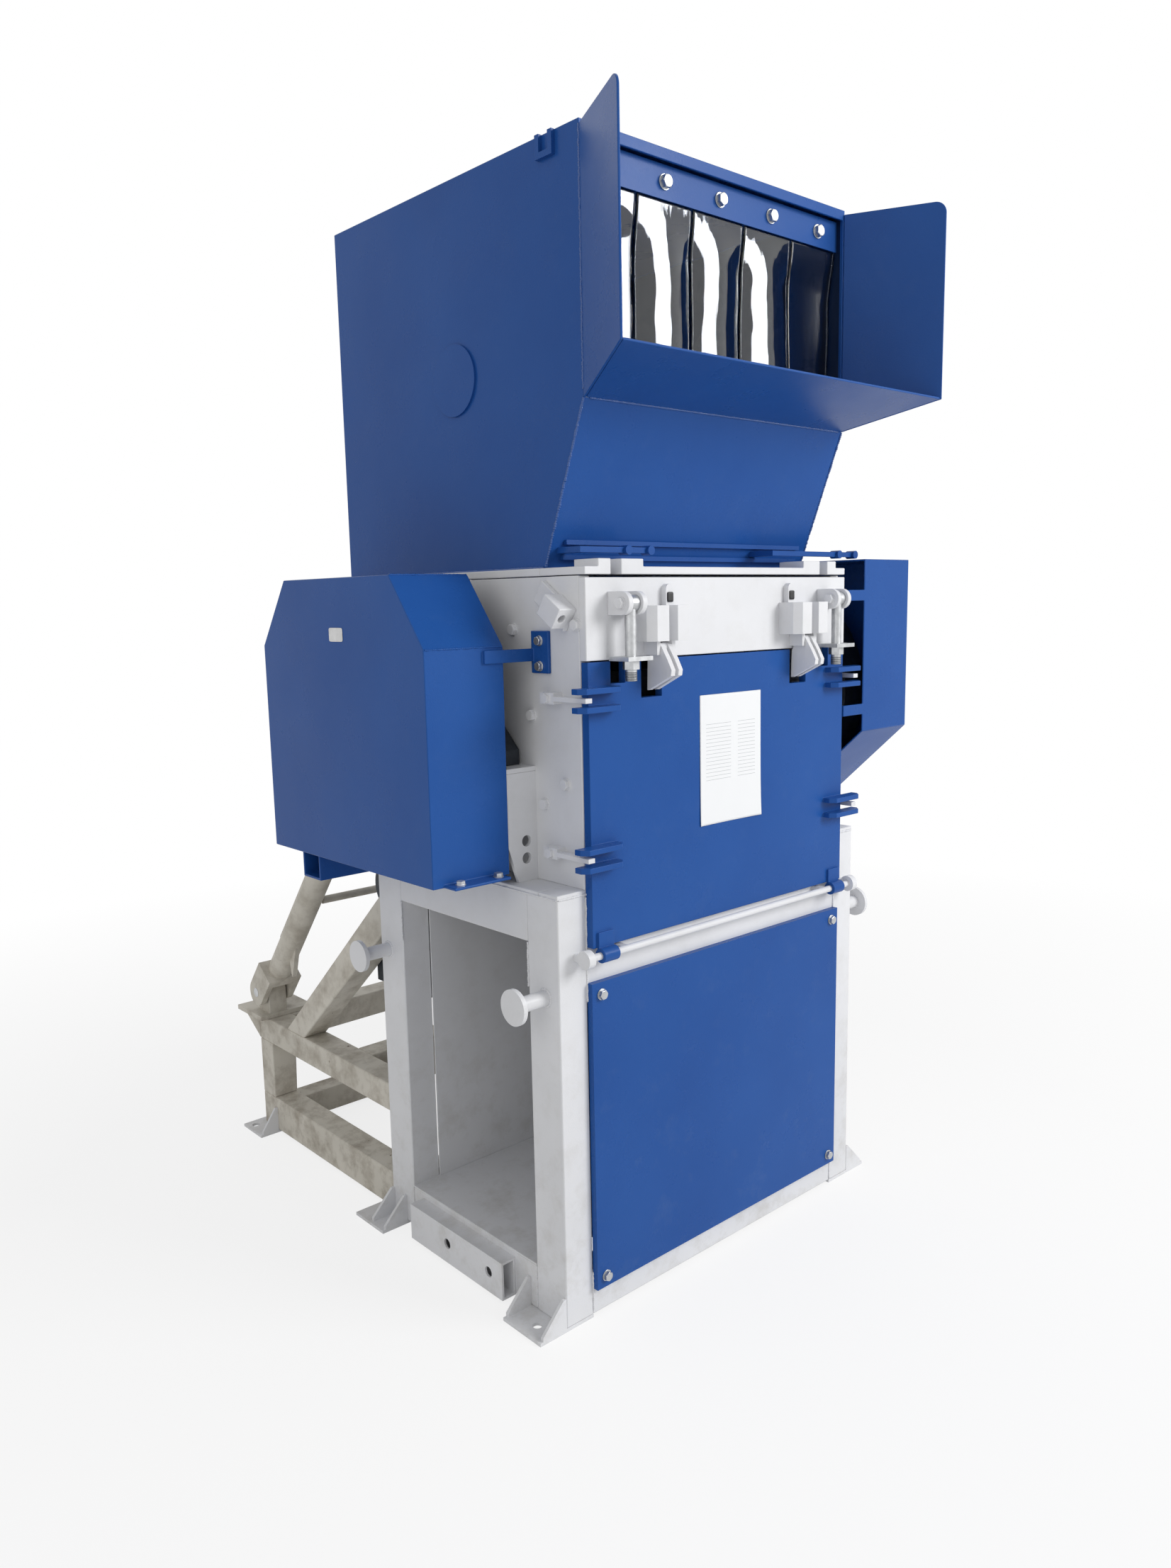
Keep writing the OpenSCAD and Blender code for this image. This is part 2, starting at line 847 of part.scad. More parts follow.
// Plate under the motor and the beam under the belt guard
platform_t = 10;
platform_back = front_y + 890;
platform_x = cham_in - 6;
stay_t = 10;
beam_y = front_y + 640;
beam_d = 80;
beam_x = pulley_x;
beam_h = 66;

module motor_platform() {
    top = guard_low - seam;
    color(blue) {
        difference() {
            box([-beam_x, beam_y, top - beam_h], [-ped_w / 2, beam_y + beam_d, top]);
            box([-beam_x - over, beam_y + tube_t, top - beam_h + tube_t],
                [-ped_w / 2 + over, beam_y + beam_d - tube_t, top - tube_t]);
        }
        box([-platform_x, front_y + back_low_y + wall_t, ped_h],
            [platform_x, platform_back, ped_h + platform_t]);
        for (x = [-platform_x / 3, platform_x - stay_t])
            along_x(x, stay_t)
                polygon([[back_y, ped_h], [platform_back, ped_h], [back_y, ped_h - beam_h * 2]]);
    }
}

// Hydraulic tank with its pump motor, behind the pedestal
tank_x = [12 - cham_w / 2, 307 - cham_w / 2];
tank_d = 170;
tank_z = [ped_h - 400, ped_h - 215];
pump_r = 80;
pump_z = ped_h - 130;
pump_y = back_y + 88;
pump_l = 210;
cap_r = 22;
pump_fins = 9;

module hydraulic_unit() {
    color(dark)
        difference() {
            union() {
                bar_x(tank_x[0], pump_y, pump_z, pump_r - fin_h / 2, pump_l);
                for (i = [1:pump_fins])
                    bar_x(tank_x[0] + pump_l * i / (pump_fins + 1), pump_y, pump_z, pump_r, fin_t);
                bar_x(tank_x[0] + pump_l, pump_y, pump_z, pump_r / 2, shield_l);
                box([tank_x[0] + shield_l, pump_y - pump_r / 2, tank_z[1]],
                    [tank_x[0] + pump_l - shield_l, pump_y + pump_r / 2, pump_z - pump_r / 2]);
                box([tank_x[0], back_y, tank_z[0]], [tank_x[1], back_y + tank_d, tank_z[1]]);
                translate([tank_x[1] - 2 * cap_r, back_y + tank_d / 2, tank_z[1]])
                    cylinder(r = cap_r, h = cap_r);
            }
            bar_x(tank_x[0] + pump_l - over, pump_y, pump_z, pump_r / 8, shield_l + 2 * over);
        }
}

// Guards: a rim of sheet with an outer cover, open towards the chamber
guard_y = front_y + 146;
guard_out = pulley_x + 18;
rim_x = guard_out - guard_w;
top_cut = [115, 150];
wheel_guard_y = [front_y - 23, front_y + 713];
wheel_guard_low = ped_h + 50;
low_cut = [225, 203];
guard_arm_h = 27;
guard_arm_t = 8;
arm_z = split_z - 175;
tee_z = [arm_z - 25, arm_z + 64];
tee_y = [front_y + 90, front_y + 146];
wheel_arms = [rotor_z + 238, rotor_z - 53];
tee_h = 60;
tee_d = 60;
tab_h = 6;
tab_d = 40;

// Outline with two corners cut, drawn towards the cut end; inset keeps the sheet's thickness
function cut_outline(y, z, cut, inset) =
    let (up = z[1] > z[0] ? 1 : -1, slant = norm(cut),
        side = z[1] - up * (cut[1] - inset * (cut[1] - slant) / cut[0]),
        flat = cut[0] + inset * (slant - cut[0]) / cut[1])
    [[y[0] + inset, z[0] + up * inset], [y[0] + inset, side], [y[0] + flat, z[1] - up * inset],
        [y[1] - flat, z[1] - up * inset], [y[1] - inset, side], [y[1] - inset, z[0] + up * inset]];

module guard_shell(y, z, cut) {
    difference() {
        along_x(rim_x, guard_w)
            polygon(cut_outline(y, z, cut, 0));
        along_x(rim_x - over, guard_w - guard_t + over)
            polygon(cut_outline(y, z, cut, guard_t));
    }
}

module belt_guard() {
    arm_y = guard_y - guard_arm_t;
    color(blue)
        mirror([1, 0, 0]) {
            guard_shell([guard_y, guard_y + guard_len], [guard_low, guard_top], top_cut);
            box([cham_w / 2, arm_y, arm_z], [rim_x + 2 * guard_arm_h, guard_y, arm_z + guard_arm_h]);
            box([cham_w / 2, tee_y[0], tee_z[0]], [cham_w / 2 + guard_arm_t, tee_y[1], tee_z[1]]);
            box([rim_x + guard_arm_h, guard_y - tab_d, guard_low],
                [guard_out - guard_arm_h, guard_y, guard_low + tab_h]);
        }
}

module flywheel_guard() {
    y = wheel_guard_y[0];
    color(blue) {
        guard_shell(wheel_guard_y, [wheel_guard_top, wheel_guard_low], low_cut);
        for (z = wheel_arms) {
            box([cham_w / 2, y, z], [rim_x, y + guard_arm_t, z + guard_arm_h]);
            box([cham_w / 2, front_y, z + guard_arm_h / 2 - tee_h / 2],
                [cham_w / 2 + guard_arm_t, front_y + tee_d, z + guard_arm_h / 2 + tee_h / 2]);
            box([cham_w / 2, y, z], [cham_w / 2 + guard_arm_t, front_y + over, z + guard_arm_h]);
        }
    }
}

// Screen door, hung on a rod at its foot
rod_y = front_y - 30;
door_low = hinge_rod_z + 15;
door_top = door_low + door_h;
door_back = front_y - gap;
notch_x = [cham_w / 2 - 217, cham_w / 2 - 155];
notch_d = 81;
bolt_slot_w = 42;
bolt_slot_d = 46;
ear_x = [cham_w / 2 - 77, cham_w / 2 + 43];
ear_d = 32;
ear_t = 12;
ear_cut = 14;
ear_half = 13;
ear_z = [door_low + 197, door_low + 526];
hook_x = [cham_w / 2 - 59, cham_w / 2 - 15];
hook_top = hinge_rod_z + 49;
hook_t = 6;
hook_r = 16;
rod_boss_r = 20;
rod_half = cham_w / 2 + 33;
boss_w = 18;
tongue_half = 5;
tongue_x = [cham_w / 2 + 9, cham_w / 2 + 27];
tongue_tip = front_y - 45;
tongue_block_y = [front_y + 58, front_y + 102];
tongue_block_x = 24;

module screen_door() {
    front = door_back - door_t;
    color(blue)
        difference() {
            union() {
                difference() {
                    box([-door_w / 2, front, door_low], [door_w / 2, door_back, door_top]);
                    both_sides() {
                        box([notch_x[0], front - over, door_top - notch_d],
                            [notch_x[1], door_back + over, door_top + over]);
                        box([swing_x - bolt_slot_w / 2, front - over, door_top - bolt_slot_d],
                            [swing_x + bolt_slot_w / 2, door_back + over, door_top + over]);
                    }
                }
                both_sides() {
                    for (z = ear_z, side = [-1, 1])
                        translate([0, front, z + side * (ear_half + ear_t / 2) - ear_t / 2])
                            linear_extrude(ear_t)
                                polygon([[ear_x[0], 0], [ear_x[0], ear_cut - ear_d],
                                    [ear_x[0] + ear_cut, -ear_d], [ear_x[1] - ear_cut, -ear_d],
                                    [ear_x[1], ear_cut - ear_d], [ear_x[1], 0]]);
                    bar_x(hook_x[0], rod_y, hinge_rod_z, hook_r, hook_x[1] - hook_x[0]);
                    box([hook_x[0], front - hook_t, hinge_rod_z + hook_r / 2], [hook_x[1], front, hook_top]);
                }
            }
            bar_x(-rod_half, rod_y, hinge_rod_z, hinge_rod_r + run, 2 * rod_half);
        }
}

module door_rod() {
    color(ivory) {
        bar_x(-rod_half, rod_y, hinge_rod_z, hinge_rod_r, 2 * rod_half);
        both_sides() {
            bar_x(rod_half - boss_w, rod_y, hinge_rod_z, rod_boss_r, boss_w);
            for (x = [rod_half - boss_w, hook_x[0] - 2 * boss_w])
                box([x, rod_y, hinge_rod_z - hinge_rod_r], [x + boss_w, front_y, hinge_rod_z + hinge_rod_r]);
        }
    }
}

module door_tongues() {
    x0 = cham_w / 2;
    color(ivory)
        both_sides()
            for (z = ear_z) {
                box([x0, tongue_block_y[0], z - tongue_block_x / 2],
                    [x0 + tongue_block_x, tongue_block_y[1], z + tongue_block_x / 2]);
                box([tongue_x[0], tongue_tip, z - tongue_half],
                    [tongue_x[1], tongue_block_y[0] + over, z + tongue_half]);
                translate([x0 + tongue_block_x, (tongue_block_y[0] + tongue_block_y[1]) / 2, z])
                    rotate([0, 90, 0])
                        cylinder(r = bolt_head_r, h = bolt_head_h, $fn = 6);
            }
}

// Clamps above the door: a hook beside a swing bolt on each side
swing_x = cham_w / 2 - 87;
swing_y = front_y - 60;
swing_z = split_z - 57;
swing_pin_r = 8;
swing_eye_r = 17;
swing_eye_w = 26;
swing_ear_t = 13;
swing_ear_r = 24;
swing_r = 12;
swing_tip = 158;
swing_plate = [70, 58, 9];
swing_plate_at = 112;
swing_nut_r = 18;
swing_nut_h = 18;
clamp_x = [cham_w / 2 - 259, cham_w / 2 - 131];
clamp_z = [split_z - 137, split_z - 63];
clamp_d = 58;
clamp_cut = 16;
clamp_slot = [26, 30];
hook_pin_r = 7;
hook_pin_y = front_y - 46;
hook_pin_z = split_z - 153;
hook_boss_r = 13;
hook_plates = [cham_w / 2 - 209, cham_w / 2 - 175];
hook_plate_t = 12;
cheek_t = 10;
lever_x = cham_w / 2 - 230;
lever_w = 24;
lever_top = split_z - 18;
lever_t = 14;

module swing_ears() {
    half = swing_eye_w / 2 + gap;
    face = front_y - plate_d;
    color(ivory)
        both_sides() {
            for (x = [swing_x - half - swing_ear_t, swing_x + half])
                along_x(x, swing_ear_t) {
                    translate([swing_y, swing_z])
                        circle(r = swing_ear_r);
                    polygon([[swing_y, swing_z - swing_ear_r], [face, swing_z - swing_ear_r],
                        [face, swing_z + swing_ear_r], [swing_y, swing_z + swing_ear_r]]);
                }
            bar_x(swing_x - half - swing_ear_t, swing_y, swing_z, swing_pin_r, 2 * (half + swing_ear_t));
        }
}

module swing_bolt() {
    color(steel)
        difference() {
            translate([swing_x, swing_y, swing_z]) {
                bar_x(-swing_eye_w / 2, 0, 0, swing_eye_r, swing_eye_w);
                rotate([180, 0, 0])
                    cylinder(r = swing_r, h = swing_tip);
                translate([0, 0, -swing_plate_at])
                    cube(swing_plate, center = true);
                translate([0, 0, -swing_plate_at - swing_plate[2] / 2 - swing_nut_h])
                    cylinder(r = swing_nut_r, h = swing_nut_h + over, $fn = 6);
            }
            bar_x(swing_x - swing_eye_w, swing_y, swing_z, swing_pin_r + run, 2 * swing_eye_w);
        }
}

module swing_bolt_left() {
    mirror([1, 0, 0])
        swing_bolt();
}

module swing_bolt_right() {
    swing_bolt();
}

// Plan of a clamp body: cut corners, and a slot open to the front
module clamp_plan(half) {
    slot = clamp_slot[0] / 2;
    polygon([[-half, 0], [-half, clamp_cut - clamp_d], [clamp_cut - half, -clamp_d], [-slot, -clamp_d],
        [-slot, clamp_slot[1] - clamp_d], [slot, clamp_slot[1] - clamp_d], [slot, -clamp_d],
        [half - clamp_cut, -clamp_d], [half, clamp_cut - clamp_d], [half, 0]]);
}

module clamp_bodies() {
    face = front_y - plate_d;
    inner = hook_plates[0] - seam;
    outer = hook_plates[1] + seam;
    color(ivory)
        both_sides() {
            translate([(clamp_x[0] + clamp_x[1]) / 2, face, clamp_z[0]])
                linear_extrude(clamp_z[1] - clamp_z[0])
                    clamp_plan((clamp_x[1] - clamp_x[0]) / 2);
            for (x = [inner - cheek_t, outer])
                box([x, hook_pin_y - hook_boss_r, hook_pin_z - hook_boss_r],
                    [x + cheek_t, face, clamp_z[0] + over]);
            bar_x(inner - cheek_t, hook_pin_y, hook_pin_z, hook_pin_r, outer - inner + 2 * cheek_t);
            difference() {
                union() {
                    box([lever_x - lever_w / 2, face - lever_t, clamp_z[1] - over],
                        [lever_x + lever_w / 2, face, lever_top - lever_w / 2]);
                    bar_y(lever_x, face - lever_t, lever_top - lever_w / 2, lever_w / 2, lever_t);
                }
                box([lever_x - lever_w / 4, face - lever_t - over, clamp_z[1] + lever_t / 2],
                    [lever_x + lever_w / 4, face - lever_t / 2, clamp_z[1] + lever_t + lever_w / 4]);
            }
        }
}

// Side view of a hook about its pin: its back, its point and its inner side
hook_back = [[2, 13], [-12, 9], [-32, -22], [-44, -44], [-42, -56]];
hook_point = [[24, -88], [28, -88]];
hook_inner = [[26, -24], [12, 2]];
hook_outline = concat(hook_back, hook_point, hook_inner);

module door_hook() {
    color(ivory)
        difference() {
            union() {
                for (x = [hook_plates[0], hook_plates[1] - hook_plate_t])
                    along_x(x, hook_plate_t)
                        translate([hook_pin_y, hook_pin_z])
                            polygon(hook_outline);
                bar_x(hook_plates[0], hook_pin_y, hook_pin_z, hook_boss_r - over,
                    hook_plates[1] - hook_plates[0]);
            }
            bar_x(hook_plates[0] - over, hook_pin_y, hook_pin_z, hook_pin_r + run,
                hook_plates[1] - hook_plates[0] + 2 * over);
        }
}

module door_hook_left() {
    mirror([1, 0, 0])
        door_hook();
}

module door_hook_right() {
    door_hook();
}

// Knuckle on a slanted plate, on the left side of the chamber
knuckle_y = front_y + 66;
knuckle_z = split_z - 55;
knuckle_tilt = 35;
knuckle_plate = [12, 112, 62];
knuckle_block = [34, 56, 48];
knuckle_bore_r = 9;

module side_knuckle() {
    color(ivory)
        translate([-cham_w / 2, knuckle_y, knuckle_z])
            rotate([knuckle_tilt, 0, 0])
                difference() {
                    union() {
                        box([-knuckle_plate[0], -knuckle_plate[1] / 2, -knuckle_plate[2] / 2],
                            [0, knuckle_plate[1] / 2, knuckle_plate[2] / 2 - knuckle_plate[0]]);
                        box([-knuckle_plate[0] - knuckle_block[0], -knuckle_plate[1] / 2, -knuckle_block[2] / 2],
                            [0, -knuckle_plate[1] / 2 + knuckle_block[1], knuckle_block[2] / 2]);
                    }
                    bar_y(-knuckle_plate[0] - knuckle_block[0] / 2, -knuckle_plate[1] / 2 - over, 0,
                        knuckle_bore_r, knuckle_block[1] / 2);
                }
}

// Hopper
hop_front = front_y - 13;
hop_back = hop_front + hop_d;
flange_low = split_z + 2;
flange_high = flange_low + 16;
toe = 128;
fall = sill_z - flange_high;
slope = norm([toe, fall]) / fall;
header_h = 23;
bar_depth = 25;
pad_x = [cham_w / 2 - 166, cham_w / 2 - 37];
pad_d = 74;
pad_h = 16;
pad_slot = 30;

module hopper_shell() {
    x = hop_w / 2;
    low = flange_high;
    inner = hop_front + slope * hop_t;
    color(blue)
        difference() {
            along_x(-x, 2 * x)
                polygon([[hop_front, sill_z], [hop_front, hop_top], [hop_back, hop_top], [hop_back, low],
                    [hop_front + toe, low]]);
            along_x(-x + hop_t, 2 * (x - hop_t))
                polygon([[hop_front - over, sill_z], [hop_front - over, hop_top - header_h],
                    [hop_front + hop_t, hop_top - header_h], [hop_front + hop_t, hop_top - hop_t],
                    [hop_back - hop_t, hop_top - hop_t], [hop_back - hop_t, low - over],
                    [inner + toe * (fall + over) / fall, low - over], [inner, sill_z]]);
        }
}

module hopper_flange() {
    x = cham_w / 2;
    y0 = front_y - plate_d;
    toe_y = hop_front + toe;
    color(ivory) {
        difference() {
            union() {
                box([-x, y0, flange_low], [x, toe_y + hop_t, flange_high]);
                both_sides()
                    box([pad_x[0], y0, flange_low], [pad_x[1], y0 + pad_d, flange_high + pad_h]);
            }
            both_sides()
                box([swing_x - pad_slot / 2, y0 - over, flange_low - over],
                    [swing_x + pad_slot / 2, y0 + pad_d / 2, flange_high + pad_h + over]);
        }
        box([-x, hop_back - bar_depth, flange_low], [x, hop_back, flange_high]);
        both_sides()
            box([x - bar_depth, toe_y + hop_t + seam, flange_low],
                [x, hop_back - bar_depth - seam, flange_high]);
    }
}

// Wings and lip round the feed opening
wing_t = 5;
wing_angle = atan2(wing_spread, wing_reach);
wing_len = norm([wing_spread, wing_reach]);
lip_rise = 59;
lip_angle = atan2(lip_rise, wing_reach);
wing_round = 26;
wing_top = hop_top - 10;

module feed_wings() {
    color(blue)
        both_sides()
            translate([hop_w / 2, hop_front, 0])
                rotate([90, 0, wing_angle - 90])
                    linear_extrude(wing_t) {
                        polygon([[0, sill_z], [wing_len, sill_z + lip_rise],
                            [wing_len, wing_top - wing_round], [wing_len - wing_round, wing_top - wing_round],
                            [wing_len - wing_round, wing_top], [0, wing_top]]);
                        translate([wing_len - wing_round, wing_top - wing_round])
                            circle(r = wing_round);
                    }
}

module feed_lip() {
    inner = wing_t / cos(wing_angle) + seam + wing_t / 4;
    x0 = hop_w / 2 - inner;
    color(blue)
        translate([0, hop_front, sill_z])
            rotate([-lip_angle, 0, 0])
                mirror([0, 1, 0])
                    linear_extrude(wing_t)
                        polygon([[-x0, 0], [x0, 0], [x0 + wing_spread, norm([wing_reach, lip_rise])],
                            [-x0 - wing_spread, norm([wing_reach, lip_rise])]]);
}

// Header bar that clamps the curtain strips
header_low = hop_top - 91;
header_t = 8;
header_bolts = 2;
header_y = front_y + 6;
header_pitch = hop_w / 5 + 2;
curtain_t = 3;
curtain_gap = 4;
curtain_low = sill_z - 24;
curtain_y = header_y + header_t / 2;
curtain_z = header_low - seam - curtain_t / 2;
strips = 5;
curtain_room = hop_w - 2 * hop_t - 2 * curtain_gap;
curtain_w = (curtain_room - (strips - 1) * curtain_gap) / strips;

module strip_bar() {
    x = hop_w / 2 - hop_t;
    color(blue) {
        difference() {
            box([-x, header_y, header_low], [x, header_y + header_t, hop_top - header_h]);
            for (i = [-header_bolts:header_bolts])
                bar_y(i * header_pitch, header_y - over, (header_low + hop_top - header_h) / 2, bolt_r + gap,
                    header_t + 2 * over);
        }
    }
    color(steel)
        for (i = [-header_bolts:header_bolts])
            translate([i * header_pitch, header_y, (header_low + hop_top - header_h) / 2])
                hex_bolt(bolt_r, bolt_head_r, bolt_head_h, header_t + bolt_head_h);
}

module curtain_strip(i) {
    x = -curtain_room / 2 + i * (curtain_w + curtain_gap);
    color(clear) {
        bar_x(x, curtain_y, curtain_z, curtain_t / 2, curtain_w);
        box([x, curtain_y - curtain_t / 2, curtain_low],
            [x + curtain_w, curtain_y + curtain_t / 2, curtain_z]);
    }
}

module curtain_strip_1() { curtain_strip(0); }
module curtain_strip_2() { curtain_strip(1); }
module curtain_strip_3() { curtain_strip(2); }
module curtain_strip_4() { curtain_strip(3); }
module curtain_strip_5() { curtain_strip(4); }

// Small pieces on the hopper: disc, edge clip, cross bars and handle arm
disc_r = 77;
disc_t = 5;
disc_at = [front_y + 411, sill_z + 92];
clip_y = [front_y + 57, front_y + 108];
clip_d = 12;
clip_h = 46;
clip_out = 9;
bead = 10;
bead_z = [split_z + 33, split_z + 66];
bead_x = hop_w / 2 - 35;
handle_x = [[cham_w / 2 - 224, cham_w / 2 + 113], [32 - cham_w / 2, 241 - cham_w / 2]];
handle_z = split_z + 48;
handle_h = 12;
handle_y = front_y + 28;
knob_r = 10;
knob_l = 26;
knobs = [9, 76];

// Front face of the hopper's slope at a height
function slope_y(z) = hop_front + toe * (sill_z - z) / fall;

module slope_bar(x0, x1, z, size) {
    y = slope_y(z);
    along_x(x0, x1 - x0)
        polygon([[y - size, z], [y - size, z + size], [y - toe / fall * size, z + size], [y, z]]);
}

module hopper_trim() {
    color(blue) {
        bar_x(-hop_w / 2 - disc_t, disc_at[0], disc_at[1], disc_r, disc_t);
        for (y = [clip_y[0], clip_y[1] - clip_d])
            box([-hop_w / 2 - clip_out, y, hop_top - clip_h], [-hop_w / 2, y + clip_d, hop_top]);
        box([-hop_w / 2 - clip_out, clip_y[0], hop_top - clip_h],
            [-hop_w / 2, clip_y[1], hop_top - clip_h + clip_d]);
        slope_bar(-bead_x, bead_x, bead_z[1], bead);
        slope_bar(-bead_x, bead_x, bead_z[0] + over * 2, bead);
        for (ends = handle_x) {
            box([ends[0], handle_y, handle_z], [ends[1], handle_y + handle_h, handle_z + handle_h]);
            along_x(ends[0], bar_depth)
                polygon([[handle_y, handle_z], [slope_y(handle_z), handle_z],
                    [slope_y(handle_z + handle_h), handle_z + handle_h], [handle_y, handle_z + handle_h]]);
            for (from_end = knobs)
                bar_y(ends[1] - from_end, handle_y + handle_h / 2 - knob_l / 2,
                    handle_z + handle_h / 2, knob_r, knob_l);
        }
    }
}

// Hinge of the hopper, behind the chamber
eye_half = 20;
eye_r = 27;
bracket_r = 28;
bracket_t = 24;
hinge_foot = split_z - 151;

module hinge_brackets() {
    back = front_y + cham_d;
    color(ivory)
        both_sides()
            for (x = [hinge_x - eye_half - gap - bracket_t, hinge_x + eye_half + gap])
                along_x(x, bracket_t)
                    difference() {
                        union() {
                            translate([tilt_at, tilt_z])
                                circle(r = bracket_r);
                            polygon([[back, hinge_foot + bracket_r], [back, split_z - bracket_t / 2],
                                [tilt_at, split_z - bracket_t / 2], [tilt_at + bracket_r, tilt_z]]);
                        }
                        translate([tilt_at, tilt_z])
                            circle(r = tilt_pin_r + run);
                    }
}

module hopper_eyes() {
    color(ivory)
        both_sides()
            along_x(hinge_x - eye_half, 2 * eye_half)
                difference() {
                    union() {
                        translate([tilt_at, tilt_z])
                            circle(r = eye_r);
                        polygon([[hop_back, flange_low], [hop_back, tilt_z + 4 * eye_r],
                            [hop_back + eye_r, tilt_z + 4 * eye_r], [tilt_at + eye_r, tilt_z],
                            [tilt_at, tilt_z - eye_r]]);
                    }
                    translate([tilt_at, tilt_z])
                        circle(r = tilt_pin_r + run);
                }
}

// Arms that reach down from the hopper to the cylinder rods
rod_eye_y = front_y + 640;
rod_eye_z = split_z - 263.5;
rod_eye_r = 34;
arm_back = front_y + 860;
arm_head = 42;

module hopper_arms() {
    color(blue)
        both_sides() {
            along_x(arm_x, arm_t) {
                translate([rod_eye_y, rod_eye_z])
                    circle(r = arm_head);
                polygon([[rod_eye_y - arm_head, rod_eye_z], [rod_eye_y - arm_head, flange_high],
                    [arm_back, flange_high], [arm_back, flange_low - arm_head / 2],
                    [rod_eye_y + arm_head, rod_eye_z]]);
            }
            box([cham_w / 2, rod_eye_y - arm_head, flange_low], [arm_x + over, arm_back, flange_high]);
        }
}

// Tilting cylinders, drawn along their own axis from the foot pin
cyl_len = norm([foot_pin_y - rod_eye_y, rod_eye_z - foot_pin_z]);
cyl_lean = atan2(foot_pin_y - rod_eye_y, rod_eye_z - foot_pin_z);
barrel_end = cyl_len - 379;
barrel_foot = 96;
ear_reach = 40;
ear_plate = 17;
yoke_z = 70;
cavity_r = barrel_r - 6;
gland = 40;
piston_at = 140;
piston_h = 30;
port_r = 7;
port_run = [190, 520];
fin_run = [150, 260];
fin_out = 34;
fin_at_share = 0.8;
port_at_share = 1.5;
cross_r = 11;
cross_z = 424;

module on_cylinder() {
    translate([0, foot_pin_y, foot_pin_z])
        rotate([cyl_lean, 0, 0])
            children();
}

module cylinder_barrel() {
    difference() {
        union() {
            for (x = [-clevis_half, clevis_half - ear_plate])
                along_x(x, ear_plate) {
                    circle(r = ear_reach);
                    polygon([[-ear_reach, 0], [ear_reach, 0], [ear_reach, yoke_z], [-ear_reach, yoke_z]]);
                }
            box([-clevis_half, -ear_reach, yoke_z - over], [clevis_half, ear_reach, barrel_foot]);
            translate([0, 0, yoke_z])
                cylinder(r = barrel_r, h = barrel_end - yoke_z);
            for (z = port_run)
                translate([0, barrel_r * fin_at_share, z])
                    cylinder(r = 2 * port_r, h = 3 * port_r);
            translate([0, barrel_r + port_r * port_at_share, port_run[0] + port_r])
                cylinder(r = port_r, h = port_run[1] - port_run[0] + port_r);
            along_x(-port_r, 2 * port_r)
                polygon([[port_r - barrel_r, fin_run[0] + fin_out], [-barrel_r - fin_out, fin_run[0]],
                    [-barrel_r - fin_out, fin_run[0] + port_r], [port_r - barrel_r, fin_run[1]]]);
        }
        for (x = [-clevis_half - over, clevis_half - ear_plate - over])
            bar_x(x, 0, 0, foot_pin_r + run, ear_plate + 2 * over);
        translate([0, 0, piston_at - piston_h])
            cylinder(r = cavity_r, h = barrel_end - gland - piston_at + piston_h);
        translate([0, 0, barrel_end - gland - over])
            cylinder(r = rod_r + run, h = gland + 2 * over);
    }
}

module cylinder_barrels() {
    pipe = cyl_x - barrel_r - seam;
    color(beige)
        on_cylinder() {
            for (side = [-1, 1])
                translate([side * cyl_x, 0, 0])
                    cylinder_barrel();
            bar_x(-pipe, -cross_r, cross_z, cross_r, 2 * pipe);
        }
}

module cylinder_rods() {
    color(steel)
        on_cylinder()
            for (side = [-1, 1])
                translate([side * cyl_x, 0, 0])
                    difference() {
                        union() {
                            translate([0, 0, piston_at])
                                cylinder(r = rod_r, h = cyl_len - piston_at);
                            translate([0, 0, piston_at])
                                cylinder(r = cavity_r - gap, h = piston_h);
                            bar_x(-rod_eye_half, 0, cyl_len, rod_eye_r, 2 * rod_eye_half);
                        }
                        translate([0, 0, cyl_len])
                            difference() {
                                cube([4 * rod_r, 4 * rod_r, 4 * rod_r], center = true);
                                cube([2 * rod_eye_half, 5 * rod_r, 5 * rod_r], center = true);
                            }
                        bar_x(-rod_eye_half - over, 0, cyl_len, foot_pin_r + gap, 2 * (rod_eye_half + over));
                    }
}

anchor_feet();
pedestal_posts();
pedestal_rails();
pedestal_top();
bin_lining();
front_panel();
panel_bolts();
bin_guides();
lifting_bollards();
rear_rails();
rear_struts();
clevis_brackets();
hinge_pins();
chamber_side_left();
chamber_side_right();
chamber_front();
chamber_rear();
bed_knives();
screen();
screen_cradle();
bearing_stands();
bearing_housings();
belt_guard();
flywheel_guard();
drive_belts();
main_motor();
motor_platform();
hydraulic_unit();
clamp_bodies();
swing_ears();
door_rod();
door_tongues();
side_knuckle();
hinge_brackets();
hopper_shell();
hopper_flange();
feed_wings();
feed_lip();
hopper_arms();
hopper_eyes();
strip_bar();
hopper_trim();
rotor_shaft();
rotor_body();
rotor_knives();
driven_pulley();
flywheel();
motor_pulley();
cylinder_barrels();
cylinder_rods();
screen_door();
swing_bolt_left();
swing_bolt_right();
door_hook_left();
door_hook_right();
curtain_strip_1();
curtain_strip_2();
curtain_strip_3();
curtain_strip_4();
curtain_strip_5();
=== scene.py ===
import bmesh
import bpy
import json
import math
import numpy as np
from mathutils import Matrix, Vector

